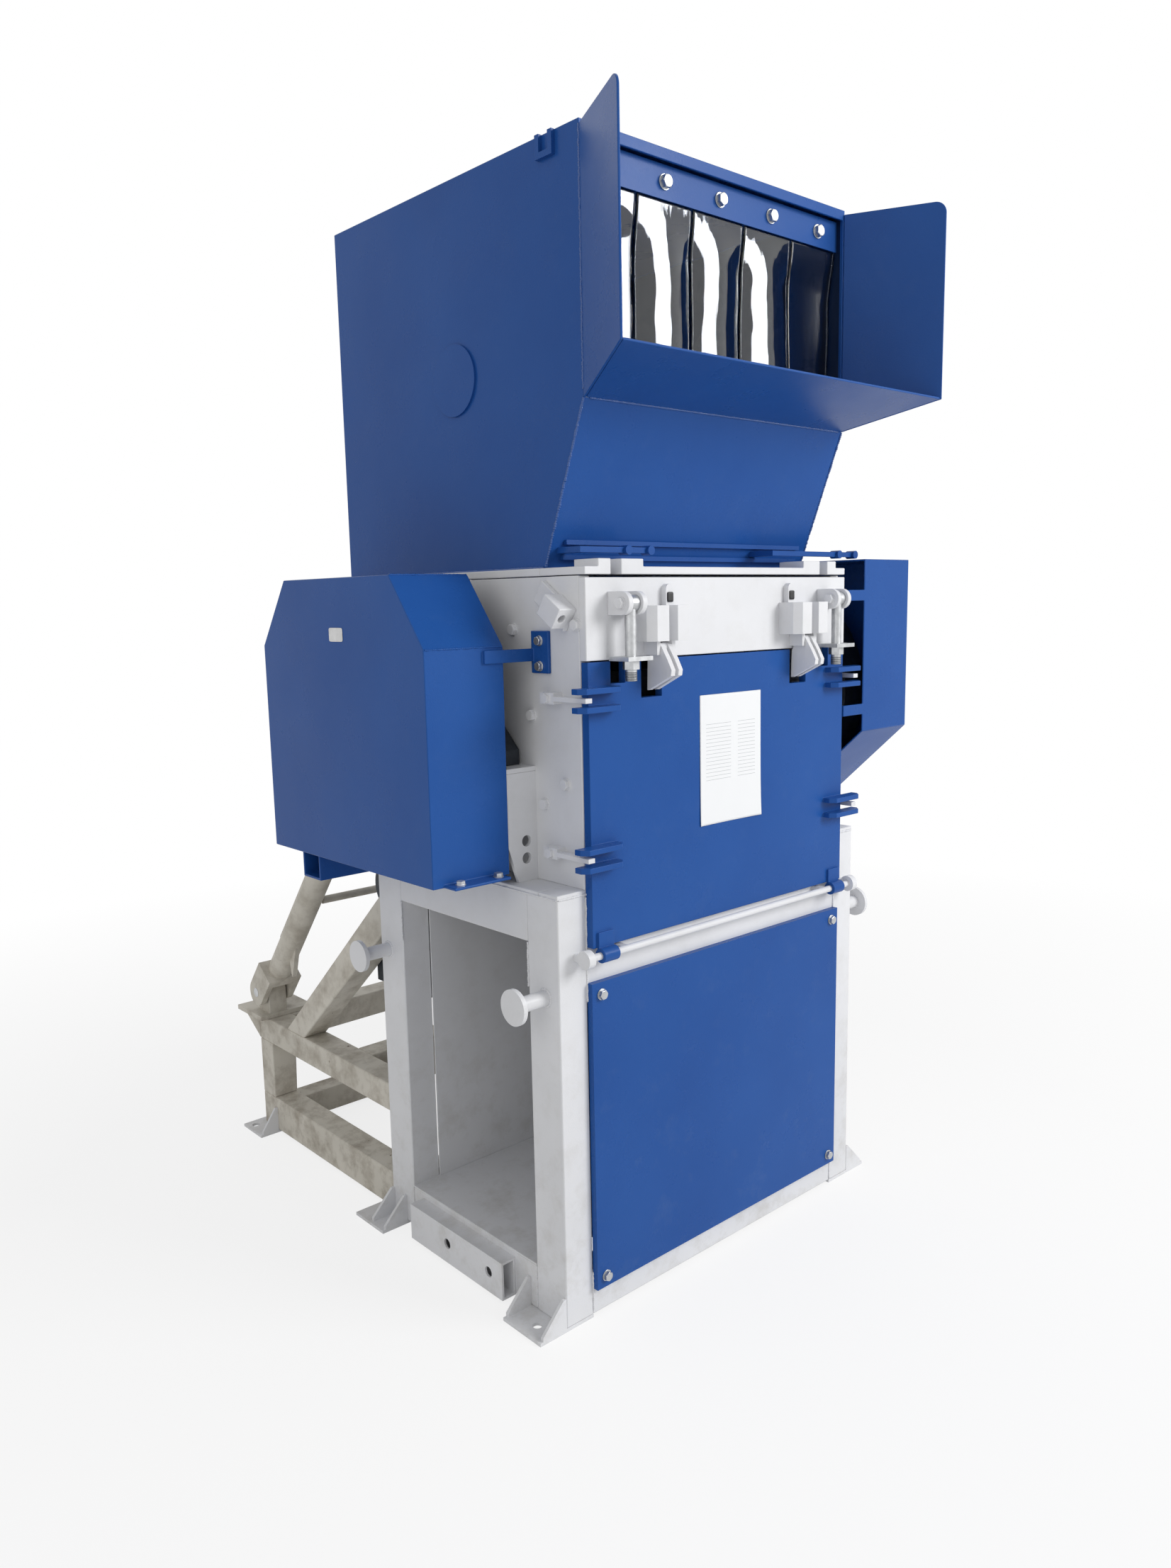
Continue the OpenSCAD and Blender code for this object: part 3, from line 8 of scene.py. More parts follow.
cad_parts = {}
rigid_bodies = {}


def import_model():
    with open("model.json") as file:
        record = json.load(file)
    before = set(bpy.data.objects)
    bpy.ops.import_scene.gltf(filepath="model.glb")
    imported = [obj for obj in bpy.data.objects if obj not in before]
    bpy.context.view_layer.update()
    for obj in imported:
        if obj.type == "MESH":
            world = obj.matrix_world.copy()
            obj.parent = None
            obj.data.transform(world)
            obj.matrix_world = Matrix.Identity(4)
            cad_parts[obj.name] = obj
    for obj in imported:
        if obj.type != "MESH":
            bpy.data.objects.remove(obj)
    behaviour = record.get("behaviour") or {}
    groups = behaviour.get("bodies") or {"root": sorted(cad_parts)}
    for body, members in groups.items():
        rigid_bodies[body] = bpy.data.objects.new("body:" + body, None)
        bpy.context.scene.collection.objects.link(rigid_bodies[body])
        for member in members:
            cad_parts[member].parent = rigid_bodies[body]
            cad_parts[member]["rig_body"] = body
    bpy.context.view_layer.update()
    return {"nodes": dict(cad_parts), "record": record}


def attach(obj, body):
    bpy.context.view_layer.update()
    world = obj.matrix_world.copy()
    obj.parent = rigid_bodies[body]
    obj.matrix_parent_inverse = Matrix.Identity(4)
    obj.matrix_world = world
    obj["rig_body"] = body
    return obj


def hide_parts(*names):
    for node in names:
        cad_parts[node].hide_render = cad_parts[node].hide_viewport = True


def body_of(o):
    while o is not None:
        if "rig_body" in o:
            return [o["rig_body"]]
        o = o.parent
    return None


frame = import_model()
scene = bpy.context.scene
nodes = frame["nodes"]
print("frame loaded:", len(nodes), "nodes")


def addNode(mat, kind, inputs=None, **settings):
    node = mat.node_tree.nodes.new(kind)
    for key, value in settings.items():
        setattr(node, key, value)
    for key, value in (inputs or {}).items():
        if hasattr(value, "is_output"):
            mat.node_tree.links.new(value, node.inputs[key])
        else:
            node.inputs[key].default_value = value
    return node


def feedSocket(mat, value, surface, socket="Base Color"):
    mat.node_tree.links.new(value, surface.inputs[socket])


def startMaterial(name, **shader):
    mat = bpy.data.materials.new(name)
    mat.use_nodes = True
    surface = mat.node_tree.nodes["Principled BSDF"]
    for key, value in shader.items():
        surface.inputs[key.replace("_", " ")].default_value = value
    return mat, surface


def objectPoint(mat, stretch=(1, 1, 1)):
    place = addNode(mat, "ShaderNodeTexCoord").outputs["Object"]
    return addNode(mat, "ShaderNodeMapping", {"Vector": place, "Scale": stretch}).outputs["Vector"]


def noise(mat, scale, detail=4, rough=0.55, stretch=(1, 1, 1)):
    inputs = {"Vector": objectPoint(mat, stretch), "Scale": scale, "Detail": detail, "Roughness": rough}
    return addNode(mat, "ShaderNodeTexNoise", inputs).outputs["Fac"]


def remap(mat, value, low, high, toLow=0.0, toHigh=1.0):
    inputs = {"Value": value, "From Min": low, "From Max": high, "To Min": toLow, "To Max": toHigh}
    return addNode(mat, "ShaderNodeMapRange", inputs).outputs["Result"]


def math2(mat, operation, a, b=0.0):
    return addNode(mat, "ShaderNodeMath", {0: a, 1: b}, operation=operation).outputs[0]


def mixColours(mat, share, a, b):
    node = addNode(mat, "ShaderNodeMix", {"Factor": share}, data_type="RGBA")
    for socket, value in ((node.inputs[6], a), (node.inputs[7], b)):
        if hasattr(value, "is_output"):
            mat.node_tree.links.new(value, socket)
        else:
            socket.default_value = (*value, 1)
    return node.outputs[2]


def setBump(mat, surface, heights):
    normal = None
    for height, strength, distance in heights:
        inputs = {"Height": height, "Strength": strength, "Distance": distance}
        if normal is not None:
            inputs["Normal"] = normal
        normal = addNode(mat, "ShaderNodeBump", inputs).outputs["Normal"]
    feedSocket(mat, normal, surface, "Normal")


def heightAbove(mat):
    place = addNode(mat, "ShaderNodeTexCoord").outputs["Object"]
    return addNode(mat, "ShaderNodeSeparateXYZ", {0: place}).outputs["Z"]


# 1 within a box that is even about x = 0, else 0
def insideBox(mat, box):
    place = addNode(mat, "ShaderNodeTexCoord").outputs["Object"]
    x, y, z = addNode(mat, "ShaderNodeSeparateXYZ", {0: place}).outputs
    share = math2(mat, "LESS_THAN", math2(mat, "ABSOLUTE", x), box["x"])
    for axis, (low, high) in ((y, box["y"]), (z, box["z"])):
        share = math2(mat, "MULTIPLY", share, math2(mat, "GREATER_THAN", axis, low))
        share = math2(mat, "MULTIPLY", share, math2(mat, "LESS_THAN", axis, high))
    return share


# What all sprayed paints share: scales of the dust, sheen, waves and orange peel
sprayLook = {
    "dustScale": 14, "dustFade": 0.25, "dustRough": 0.3, "chipFade": 0.02, "sheenScale": 6,
    "waveScale": 3.5, "waveDepth": 0.02, "peelScale": 330, "peelDepth": 0.0006,
}


# Sprayed paint: an even colour with faint clouds, dust that gathers low down, chips and an orange-peel skin,
# and where asked a painted shade inside a box
def sprayPaint(name, look):
    mat, surface = startMaterial(name, Roughness=look["rough"][0], Specular_IOR_Level=look["specular"])
    clouds = remap(mat, noise(mat, look["cloudScale"], 5), 0.3, 0.7)
    colour = mixColours(mat, clouds, look["colour"], look["cloud"])
    low = math2(mat, "MULTIPLY", remap(mat, heightAbove(mat), look["dustTop"], 0.0), look["dustLow"])
    dustTo = look["dustFrom"] + sprayLook["dustFade"]
    dust = remap(mat, noise(mat, sprayLook["dustScale"], 8, 0.7), look["dustFrom"], dustTo)
    dust = math2(mat, "MULTIPLY", dust, math2(mat, "ADD", low, look["dustAll"]))
    colour = mixColours(mat, dust, colour, look["dust"])
    chipTo = look["chipFrom"] + sprayLook["chipFade"]
    chips = remap(mat, noise(mat, look["chipScale"], 10, 0.72), look["chipFrom"], chipTo)
    colour = mixColours(mat, chips, colour, look["chip"])
    # Painted shade: inside the look's box the colour turns to a dark shade colour, standing for the little
    # light that reaches in there
    if "inside" in look:
        colour = mixColours(mat, insideBox(mat, look["inside"]), colour, look["paintedInsideShade"])
    feedSocket(mat, colour, surface)
    rough = remap(mat, noise(mat, sprayLook["sheenScale"], 6, 0.6), 0.3, 0.7, *look["rough"])
    rough = math2(mat, "ADD", rough, math2(mat, "MULTIPLY", dust, sprayLook["dustRough"]))
    feedSocket(mat, rough, surface, "Roughness")
    waves = (noise(mat, sprayLook["waveScale"], 2), look["wave"], sprayLook["waveDepth"])
    peel = (noise(mat, sprayLook["peelScale"], 2, 0.5), look["peel"], sprayLook["peelDepth"])
    setBump(mat, surface, [waves, peel])
    return mat


bluePaintLook = {
    "colour": (0.013, 0.072, 0.285), "cloud": (0.018, 0.088, 0.325), "cloudScale": 2.2,
    "rough": (0.24, 0.34), "specular": 0.14, "wave": 0.10, "peel": 0.30,
    "dust": (0.16, 0.22, 0.33), "dustTop": 0.9, "dustFrom": 0.55, "dustLow": 0.12, "dustAll": 0.05,
    "chip": (0.24, 0.30, 0.40), "chipScale": 42, "chipFrom": 0.715,
}
ivoryPaintLook = {
    "colour": (0.765, 0.77, 0.79), "cloud": (0.70, 0.705, 0.72), "cloudScale": 3.0,
    "rough": (0.30, 0.42), "specular": 0.25, "wave": 0.06, "peel": 0.25,
    "dust": (0.40, 0.37, 0.31), "dustTop": 0.7, "dustFrom": 0.48, "dustLow": 0.30, "dustAll": 0.10,
    "chip": (0.22, 0.19, 0.16), "chipScale": 34, "chipFrom": 0.73,
}
wornPaintLook = {
    "colour": (0.70, 0.665, 0.59), "cloud": (0.56, 0.53, 0.46), "cloudScale": 7.0,
    "rough": (0.42, 0.60), "specular": 0.2, "wave": 0.08, "peel": 0.35,
    "dust": (0.25, 0.20, 0.15), "dustTop": 1.0, "dustFrom": 0.46, "dustLow": 0.40, "dustAll": 0.30,
    "chip": (0.13, 0.075, 0.04), "chipScale": 26, "chipFrom": 0.665,
}
# Painted shade: the hopper's inside is painted dark, standing for the shade where little light reaches in
hopperPaintLook = dict(bluePaintLook, inside={"x": 0.4235, "y": (-0.385, 0.470), "z": (1.990, 2.478)},
                       paintedInsideShade=(0.006, 0.017, 0.052))
weldPaintLook = dict(bluePaintLook, rough=(0.10, 0.18), specular=0.6, peel=0.08)
bluePaint = sprayPaint("bluePaint", bluePaintLook)
hopperPaint = sprayPaint("hopperPaint", hopperPaintLook)
weldPaint = sprayPaint("weldPaint", weldPaintLook)
ivoryPaint = sprayPaint("ivoryPaint", ivoryPaintLook)
wornPaint = sprayPaint("wornPaint", wornPaintLook)


brushScale, brushDepth = 60, 0.0004


# Bare metal: fine brushing along one axis over a mottled colour
def bareMetal(name, look):
    mat, surface = startMaterial(name, Metallic=look["metal"])
    mottle = remap(mat, noise(mat, look["mottleScale"], 6, 0.65), 0.3, 0.7)
    feedSocket(mat, mixColours(mat, mottle, look["colour"], look["mottle"]), surface)
    brushed = noise(mat, brushScale, 3, 0.6, look["brush"])
    feedSocket(mat, remap(mat, brushed, 0.3, 0.7, *look["rough"]), surface, "Roughness")
    setBump(mat, surface, [(brushed, look["grain"], brushDepth)])
    return mat


zincLook = {"metal": 0.85, "colour": (0.60, 0.61, 0.62), "mottle": (0.42, 0.43, 0.44), "mottleScale": 55,
            "brush": (1, 1, 1), "rough": (0.28, 0.48), "grain": 0.25}
rodLook = {"metal": 1.0, "colour": (0.62, 0.63, 0.65), "mottle": (0.52, 0.53, 0.56), "mottleScale": 18,
           "brush": (8, 1, 1), "rough": (0.10, 0.20), "grain": 0.08}
ironLook = {"metal": 0.35, "colour": (0.035, 0.042, 0.055), "mottle": (0.020, 0.024, 0.032), "mottleScale": 30,
            "brush": (1, 1, 1), "rough": (0.42, 0.60), "grain": 0.6}
millLook = {"metal": 0.75, "colour": (0.23, 0.22, 0.21), "mottle": (0.12, 0.11, 0.10), "mottleScale": 22,
            "brush": (1, 6, 6), "rough": (0.35, 0.60), "grain": 0.4}
zincSteel = bareMetal("zincSteel", zincLook)
rodChrome = bareMetal("rodChrome", rodLook)
darkIron = bareMetal("darkIron", ironLook)
millSteel = bareMetal("millSteel", millLook)

beltLook = {"dark": (0.012, 0.012, 0.013), "rubbed": (0.035, 0.035, 0.037), "rubScale": 80, "grainScale": 500}
beltRubber, beltSurface = startMaterial("beltRubber", Roughness=0.75)
beltRub = noise(beltRubber, beltLook["rubScale"], 4)
feedSocket(beltRubber, mixColours(beltRubber, beltRub, beltLook["dark"], beltLook["rubbed"]), beltSurface)
setBump(beltRubber, beltSurface, [(noise(beltRubber, beltLook["grainScale"], 2), 0.3, 0.0005)])

slotMaterials = {
    "blue_paint": bluePaint, "bar_paint": bluePaint, "ivory_paint": ivoryPaint, "worn_paint": wornPaint,
    "plain_steel": zincSteel, "rod_chrome": rodChrome, "dark_iron": darkIron, "belt_rubber": beltRubber,
}
innerSteel = ("bed_knives", "screen", "rotor_shaft", "rotor_knives", "rotor_body")
ownMaterial = {**{name: millSteel for name in innerSteel}, "hopper_shell": hopperPaint}
for part in frame["record"]["subparts"]:
    obj = nodes[part["node"]]
    mat = ownMaterial.get(part["node"], slotMaterials.get(part["material_slot"], zincSteel))
    obj.data.materials.clear()
    obj.data.materials.append(mat)
print("materials set")

bodyOfNode = {name: body_of(obj)[0] for name, obj in nodes.items()}
seamReach = 2e-6   # metres within which the points of a drawn piece are one


# New piece from arrays: its doubles are merged, it is shaded smooth and it rides on its body
def addPiece(name, verts, faces, body, slot, mat):
    mesh = bpy.data.meshes.new(name)
    mesh.from_pydata(np.asarray(verts).tolist(), [], [tuple(f) for f in np.asarray(faces).tolist()])
    work = bmesh.new()
    work.from_mesh(mesh)
    bmesh.ops.remove_doubles(work, verts=work.verts, dist=seamReach)   # closes seams and poles
    work.to_mesh(mesh)
    work.free()
    mesh.polygons.foreach_set("use_smooth", np.ones(len(mesh.polygons), bool))
    mesh.materials.append(mat)
    obj = bpy.data.objects.new(name, mesh)
    scene.collection.objects.link(obj)
    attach(obj, body)
    return obj


# Quads between the rows of a grid, closed round each row where asked
def gridFaces(rows, columns, closed):
    i, j = np.meshgrid(np.arange(rows - 1), np.arange(columns if closed else columns - 1), indexing="ij")
    here, below, right = i * columns, (i + 1) * columns, (j + 1) % columns
    return np.stack([here + j, here + right, below + right, below + j], -1).reshape(-1, 4)


# Many shapes of one grid size joined into one mesh: verts shaped (shape, row, column, 3)
def joinGrids(verts, closed=True):
    count, rows, columns = verts.shape[:3]
    one = gridFaces(rows, columns, closed)
    shift = (np.arange(count) * rows * columns)[:, None, None]
    return verts.reshape(-1, 3), (one[None] + shift).reshape(-1, 4)


# Two directions square to an axis
def squareTo(axis):
    axis = np.asarray(axis, float) / np.linalg.norm(axis)
    side = np.cross(axis, (0.0, 0.0, 1.0) if abs(axis[2]) < 0.9 else (1.0, 0.0, 0.0))
    side = side / np.linalg.norm(side)
    return axis, side, np.cross(axis, side)


# Broken edges on the machined and folded parts
edgeLook = {
    "angle": 38, "segments": 2, "merge": 2e-5, "flat": 0.4,
    "sheet": 0.0012, "bar": 0.0018, "tube": 0.0045,
}
edgeWidths = {
    "pedestal_posts": "tube", "pedestal_rails": "tube", "rear_rails": "tube", "rear_struts": "tube",
    "pedestal_top": "bar", "bin_guides": "tube", "anchor_feet": "sheet", "clevis_brackets": "bar",
    "chamber_front": "bar", "chamber_side_left": "bar", "chamber_side_right": "bar", "chamber_rear": "bar",
    "bearing_stands": "bar", "bearing_housings": "bar", "hinge_brackets": "bar", "hopper_eyes": "bar",
    "hopper_flange": "bar", "hopper_arms": "bar", "hopper_shell": "sheet", "feed_wings": "sheet",
    "feed_lip": "sheet", "strip_bar": "sheet", "front_panel": "bar", "screen_door": "bar",
    "belt_guard": "bar", "flywheel_guard": "bar",
    "clamp_bodies": "bar", "swing_ears": "bar", "door_hook_left": "sheet", "door_hook_right": "sheet",
    "door_tongues": "sheet", "side_knuckle": "bar", "swing_bolt_left": "sheet", "swing_bolt_right": "sheet",
    "main_motor": "bar", "hydraulic_unit": "bar", "motor_platform": "bar", "hopper_trim": "sheet",
}


# Copy of a node with its loose triangles merged, flat regions joined and sharp edges rounded
def breakEdges(name, width):
    source = nodes[name]
    mesh = source.data.copy()
    work = bmesh.new()
    work.from_mesh(mesh)
    bmesh.ops.remove_doubles(work, verts=work.verts, dist=edgeLook["merge"])
    flatAngle = math.radians(edgeLook["flat"])
    bmesh.ops.dissolve_limit(work, angle_limit=flatAngle, verts=work.verts, edges=work.edges)
    work.to_mesh(mesh)
    work.free()
    mesh.name = name + "_edged"
    mesh.polygons.foreach_set("use_smooth", np.ones(len(mesh.polygons), bool))
    mesh.set_sharp_from_angle(angle=math.radians(edgeLook["angle"]))
    obj = bpy.data.objects.new(name + "_edged", mesh)
    scene.collection.objects.link(obj)
    bevel = obj.modifiers.new("brokenEdge", "BEVEL")
    bevel.width = edgeLook[width]
    bevel.segments = edgeLook["segments"]
    bevel.limit_method = "ANGLE"
    bevel.angle_limit = math.radians(edgeLook["angle"])
    bevel.miter_outer = "MITER_ARC"
    shading = obj.modifiers.new("flatFaces", "WEIGHTED_NORMAL")
    shading.keep_sharp = True
    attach(obj, bodyOfNode[name])
    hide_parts(name)
    return obj


for name, width in edgeWidths.items():
    breakEdges(name, width)
print("edges broken on", len(edgeWidths), "parts")

# Curtain strips, clear and soft
curtainLook = {
    "count": 5, "width": 0.1628, "pitch": 0.1668, "top": 2.3946, "bottom": 1.952, "y": -0.370,
    "thick": 0.003, "bow": (-0.009, 0.020, 0.021, 0.019, -0.0095), "easeIn": 0.26, "ripple": 0.0007,
    "lean": 0.006, "swing": -0.012, "rows": 72, "columns": 28,
    "dark": (0.74, 0.80, 0.88), "clear": (0.86, 0.90, 0.95),
}
clearVinyl, vinylSurface = startMaterial("clearVinyl", Roughness=0.03, IOR=1.55)
vinylSurface.inputs["Transmission Weight"].default_value = 1.0
vinylScuff = remap(clearVinyl, noise(clearVinyl, 60, 8, 0.7, (3, 1, 0.35)), 0.60, 0.82, 0.02, 0.35)
feedSocket(clearVinyl, vinylScuff, vinylSurface, "Roughness")
vinylTint = mixColours(clearVinyl, noise(clearVinyl, 9, 3), curtainLook["dark"], curtainLook["clear"])
feedSocket(clearVinyl, vinylTint, vinylSurface)
setBump(clearVinyl, vinylSurface, [(noise(clearVinyl, 16, 3, 0.5, (1, 1, 0.25)), 0.25, 0.004)])


# Strip: across it u runs from -1 to 1, down it v from 0 to 1. Once clear of the bar it swings in and bows
# by bow (1 - u^2), leans a little, and ripples as two sines of the height whose share grows downwards.
def curtainStrip(index, look):
    v, u = np.meshgrid(np.linspace(0, 1, look["rows"]), np.linspace(-1, 1, look["columns"]), indexing="ij")
    eased = np.clip(v / look["easeIn"], 0, 1)
    eased = eased * eased * (3 - 2 * eased)
    bow = look["bow"][index] * eased * (1 - u * u) * (1 - 0.25 * v)
    waves = np.sin(11 * v + 2.1 * index + 1.3 * u) + 0.6 * np.sin(23 * v - index + 2 * u)
    ripple = look["ripple"] * eased * waves
    centre = (index - (look["count"] - 1) / 2) * look["pitch"]
    x = centre + u * look["width"] / 2 * (1 - 0.006 * eased)
    y = look["y"] - bow - ripple - look["swing"] * eased + look["lean"] * v * u * (-1) ** index
    z = look["top"] + (look["bottom"] - look["top"]) * v
    verts = np.stack([x, y, z], -1)[None]
    points, faces = joinGrids(verts, closed=False)
    name = "curtain_strip_%d" % (index + 1)
    strip = addPiece(name + "_clear", points, faces, bodyOfNode[name], "clear_strip", clearVinyl)
    wall = strip.modifiers.new("thickness", "SOLIDIFY")
    wall.thickness = look["thick"]
    wall.offset = 0
    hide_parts(name)


for index in range(curtainLook["count"]):
    curtainStrip(index, curtainLook)
print("curtain strips hung")

# Sheet of paper taped to the screen door
paperLook = {
    "x": (-0.100, 0.110), "z": (1.070, 1.367), "y": -0.4010, "curl": 0.0045, "rows": 60, "columns": 44,
    "ruled": 0.0085, "lineShare": 0.10, "margin": 0.020, "gutterAt": 0.012, "gutter": 0.012,
    "head": 0.062, "foot": 0.10, "thick": 0.0003, "ink": (0.42, 0.43, 0.45), "white": (0.80, 0.81, 0.82),
}


# Paper: flat on the door, its lower right corner and upper edge lifting as powers of the distance from
# the taped middle
def paperSheet(look):
    v, u = np.meshgrid(np.linspace(0, 1, look["rows"]), np.linspace(0, 1, look["columns"]), indexing="ij")
    lift = look["curl"] * (u ** 5 * v ** 3 + 0.5 * (1 - u) ** 6 * v ** 4 + 0.10 * np.sin(7 * u + 3 * v) ** 2)
    x = look["x"][0] + (look["x"][1] - look["x"][0]) * u
    z = look["z"][1] + (look["z"][0] - look["z"][1]) * v
    verts = np.stack([x, look["y"] - lift, z], -1)[None]
    points, faces = joinGrids(verts, closed=False)
    return points, faces[:, ::-1]


paperMat, paperSurface = startMaterial("whitePaper", Roughness=0.55)
paperPoint = addNode(paperMat, "ShaderNodeTexCoord").outputs["Object"]
place = addNode(paperMat, "ShaderNodeSeparateXYZ", {0: paperPoint}).outputs
rise = math2(paperMat, "SUBTRACT", place["Z"], paperLook["z"][0])
rowPhase = math2(paperMat, "FRACT", math2(paperMat, "DIVIDE", rise, paperLook["ruled"]))
ruled = math2(paperMat, "LESS_THAN", rowPhase, paperLook["lineShare"])
middle = sum(paperLook["x"]) / 2
fromMiddle = math2(paperMat, "ABSOLUTE", math2(paperMat, "SUBTRACT", place["X"], middle))
fromGutter = math2(paperMat, "SUBTRACT", place["X"], middle + paperLook["gutterAt"])
ruledHalf = np.ptp(paperLook["x"]) / 2 - paperLook["margin"]
conditions = (
    math2(paperMat, "LESS_THAN", fromMiddle, ruledHalf),
    math2(paperMat, "GREATER_THAN", math2(paperMat, "ABSOLUTE", fromGutter), paperLook["gutter"]),
    math2(paperMat, "LESS_THAN", place["Z"], paperLook["z"][1] - paperLook["head"]),
    math2(paperMat, "GREATER_THAN", place["Z"], paperLook["z"][0] + paperLook["foot"]),
)
for condition in conditions:
    ruled = math2(paperMat, "MULTIPLY", ruled, condition)
feedSocket(paperMat, mixColours(paperMat, ruled, paperLook["white"], paperLook["ink"]), paperSurface)
setBump(paperMat, paperSurface, [(noise(paperMat, 25, 3), 0.15, 0.002)])
paper = addPiece("paper_sheet", *paperSheet(paperLook), "door", "ivory_paint", paperMat)
paperWall = paper.modifiers.new("thickness", "SOLIDIFY")
paperWall.thickness = paperLook["thick"]
paperWall.offset = 0

# Bare label plate on the belt guard
plateLook = {"at": [(-0.7184, 0.0985, 1.518)], "out": (-1, 0, 0), "half": (0.0285, 0.015),
             "thick": 0.0010, "power": 0.22}


# Plate: a rounded rectangle by the superellipse rule, raised by its thickness and closed with a slightly
# domed middle
def domedPlates(look):
    turn = np.linspace(0, 2 * np.pi, 64, endpoint=False)
    out, side, other = squareTo(look["out"])
    across = look["half"][0] * np.sign(np.cos(turn)) * np.abs(np.cos(turn)) ** look["power"]
    up = look["half"][1] * np.sign(np.sin(turn)) * np.abs(np.sin(turn)) ** look["power"]
    size = np.array([0.0, 1.0, 1.0, 0.985, 0.6, 0.0])[:, None, None]
    rise = np.array([0.0, 0.0, 0.8, 1.0, 1.05, 1.05])[:, None, None] * look["thick"]
    one = rise * out + size * (across[:, None] * side + up[:, None] * other)
    return joinGrids(np.array([np.asarray(at) + one for at in look["at"]]))


labelSteelLook = {"metal": 0.9, "colour": (0.62, 0.62, 0.62), "mottle": (0.50, 0.50, 0.50), "mottleScale": 40,
                  "brush": (1, 12, 1), "rough": (0.30, 0.45), "grain": 0.2}
labelSteel = bareMetal("labelSteel", labelSteelLook)
addPiece("label_plate", *domedPlates(plateLook), "root", "plain_steel", labelSteel)

# Black plugs in the eyes of the clamp levers
plugLook = {"at": [(side * 0.207, -0.4141, 1.585) for side in (-1, 1)], "out": (0, -1, 0),
            "half": (0.0085, 0.0105), "thick": 0.0022, "power": 0.30,
            "dark": (0.006, 0.006, 0.007), "rubbed": (0.018, 0.018, 0.020)}
blackPlug, plugSurface = startMaterial("blackPlug", Roughness=0.5)
plugTint = mixColours(blackPlug, noise(blackPlug, 60, 4), plugLook["dark"], plugLook["rubbed"])
feedSocket(blackPlug, plugTint, plugSurface)
addPiece("lever_plugs", *domedPlates(plugLook), bodyOfNode["clamp_bodies"], "dark_iron", blackPlug)
print("paper, plate and plugs placed")

# Bolt heads
boltLook = {"washer": 1.32, "washerThick": 0.16, "head": 0.868, "chamfer": 0.55, "chamferAt": 0.93, "turns": 48}


# Bolt head on a washer: the head's radius follows a hexagon, apothem / cos(angle from the flat's middle),
# and its top is cut by a cone. Every row is a ring of that radius, so one grid holds washer, flanks,
# chamfer and top.
def boltHeads(bolts, look):
    turn = np.linspace(0, 2 * np.pi, look["turns"], endpoint=False)
    fromFlat = (turn + math.pi / 6) % (math.pi / 3) - math.pi / 6
    even = np.ones_like(turn)
    shapes = []
    for at, axis, size, spin in bolts:
        out, side, other = squareTo(axis)
        hexagon = size / np.cos(fromFlat)
        rim, crown = size * look["washer"], size * look["chamferAt"]
        base = look["washerThick"] * size
        top = base + look["head"] * size
        cut = top - (hexagon - crown) * look["chamfer"]
        radius = np.array([0 * even, rim * even, rim * even, 0.97 * rim * even, hexagon,
                           hexagon, crown * even, size / 2 * even, 0 * even])
        height = np.array([0 * even, 0 * even, 0.8 * base * even, base * even, base * even,
                           cut, top * even, top * even, top * even])
        around = np.cos(turn + spin)[:, None] * side + np.sin(turn + spin)[:, None] * other
        shapes.append(np.asarray(at) + height[..., None] * out + radius[..., None] * around)
    return joinGrids(np.array(shapes))


def placeBolts(name, body, mat, slot, bolts, replace=None):
    obj = addPiece(name, *boltHeads(bolts, boltLook), body, slot, mat)
    obj.data.set_sharp_from_angle(angle=math.radians(28))
    if replace:
        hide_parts(replace)
    return obj


panelPoints = [(-0.407, 0.097), (0.407, 0.097), (-0.407, 0.749), (0.407, 0.749)]
panelBolts = [((x, -0.3954, z), (0, -1, 0), 0.0095, 0.3 * i) for i, (x, z) in enumerate(panelPoints)]
placeBolts("panel_bolt_heads", "root", zincSteel, "plain_steel", panelBolts, "panel_bolts")
chamberPoints = [(-0.3720, 1.5320), (-0.1674, 1.5220), (-0.2238, 1.3400), (-0.3300, 1.2000), (-0.2600, 1.1500)]
chamberBolts = [((side * 0.437, y, z), (side, 0, 0), 0.0105, 0.4 * i)
                for i, (y, z) in enumerate(chamberPoints) for side in (-1, 1)]
placeBolts("chamber_bolt_heads", "root", ivoryPaint, "ivory_paint", chamberBolts)
teeBolts = [((-0.445, -0.2620, z), (-1, 0, 0), 0.0085, 0.7 * i) for i, z in enumerate((1.4460, 1.4990))]
placeBolts("tee_bolt_heads", "root", zincSteel, "plain_steel", teeBolts)
headerBolts = [((i * 0.172, -0.3742, 2.429), (0, -1, 0), 0.0122, 0.5 * i) for i in range(-2, 3)]
placeBolts("header_bolt_heads", bodyOfNode["strip_bar"], zincSteel, "plain_steel", headerBolts)
pinHeads = [((side * 0.350 - 0.0265, -0.440, 1.574), (-1, 0, 0), 0.0100, 0.5 * side) for side in (-1, 1)]
placeBolts("swing_pin_heads", bodyOfNode["swing_ears"], ivoryPaint, "ivory_paint", pinHeads)
tabBolts = [((x, -0.254, 1.011), (0, 0, 1), 0.0085, 0.6 * i) for i, x in enumerate((-0.663, -0.566))]
placeBolts("guard_tab_bolts", "root", zincSteel, "plain_steel", tabBolts)

threadLook = {"x": 0.350, "y": -0.440, "top": 1.4345, "tip": 1.4150, "radius": 0.0121,
              "depth": 0.0005, "pitch": 0.0025, "rows": 64, "turns": 40}


# Thread below the nut of a swing bolt: a lathed stem whose radius swells as a sine of the height
def boltThread(side, look):
    z = np.linspace(look["top"], look["tip"], look["rows"])
    radius = look["radius"] + look["depth"] * np.sin(2 * np.pi * z / look["pitch"])
    radius[0], radius[-2:] = 0.0, (0.9 * look["radius"], 0.0)
    turn = -np.linspace(0, 2 * np.pi, look["turns"], endpoint=False)
    x = side * look["x"] + radius[:, None] * np.cos(turn)
    y = look["y"] + radius[:, None] * np.sin(turn)
    return joinGrids(np.stack([x, y, z[:, None] + 0 * x], -1)[None])


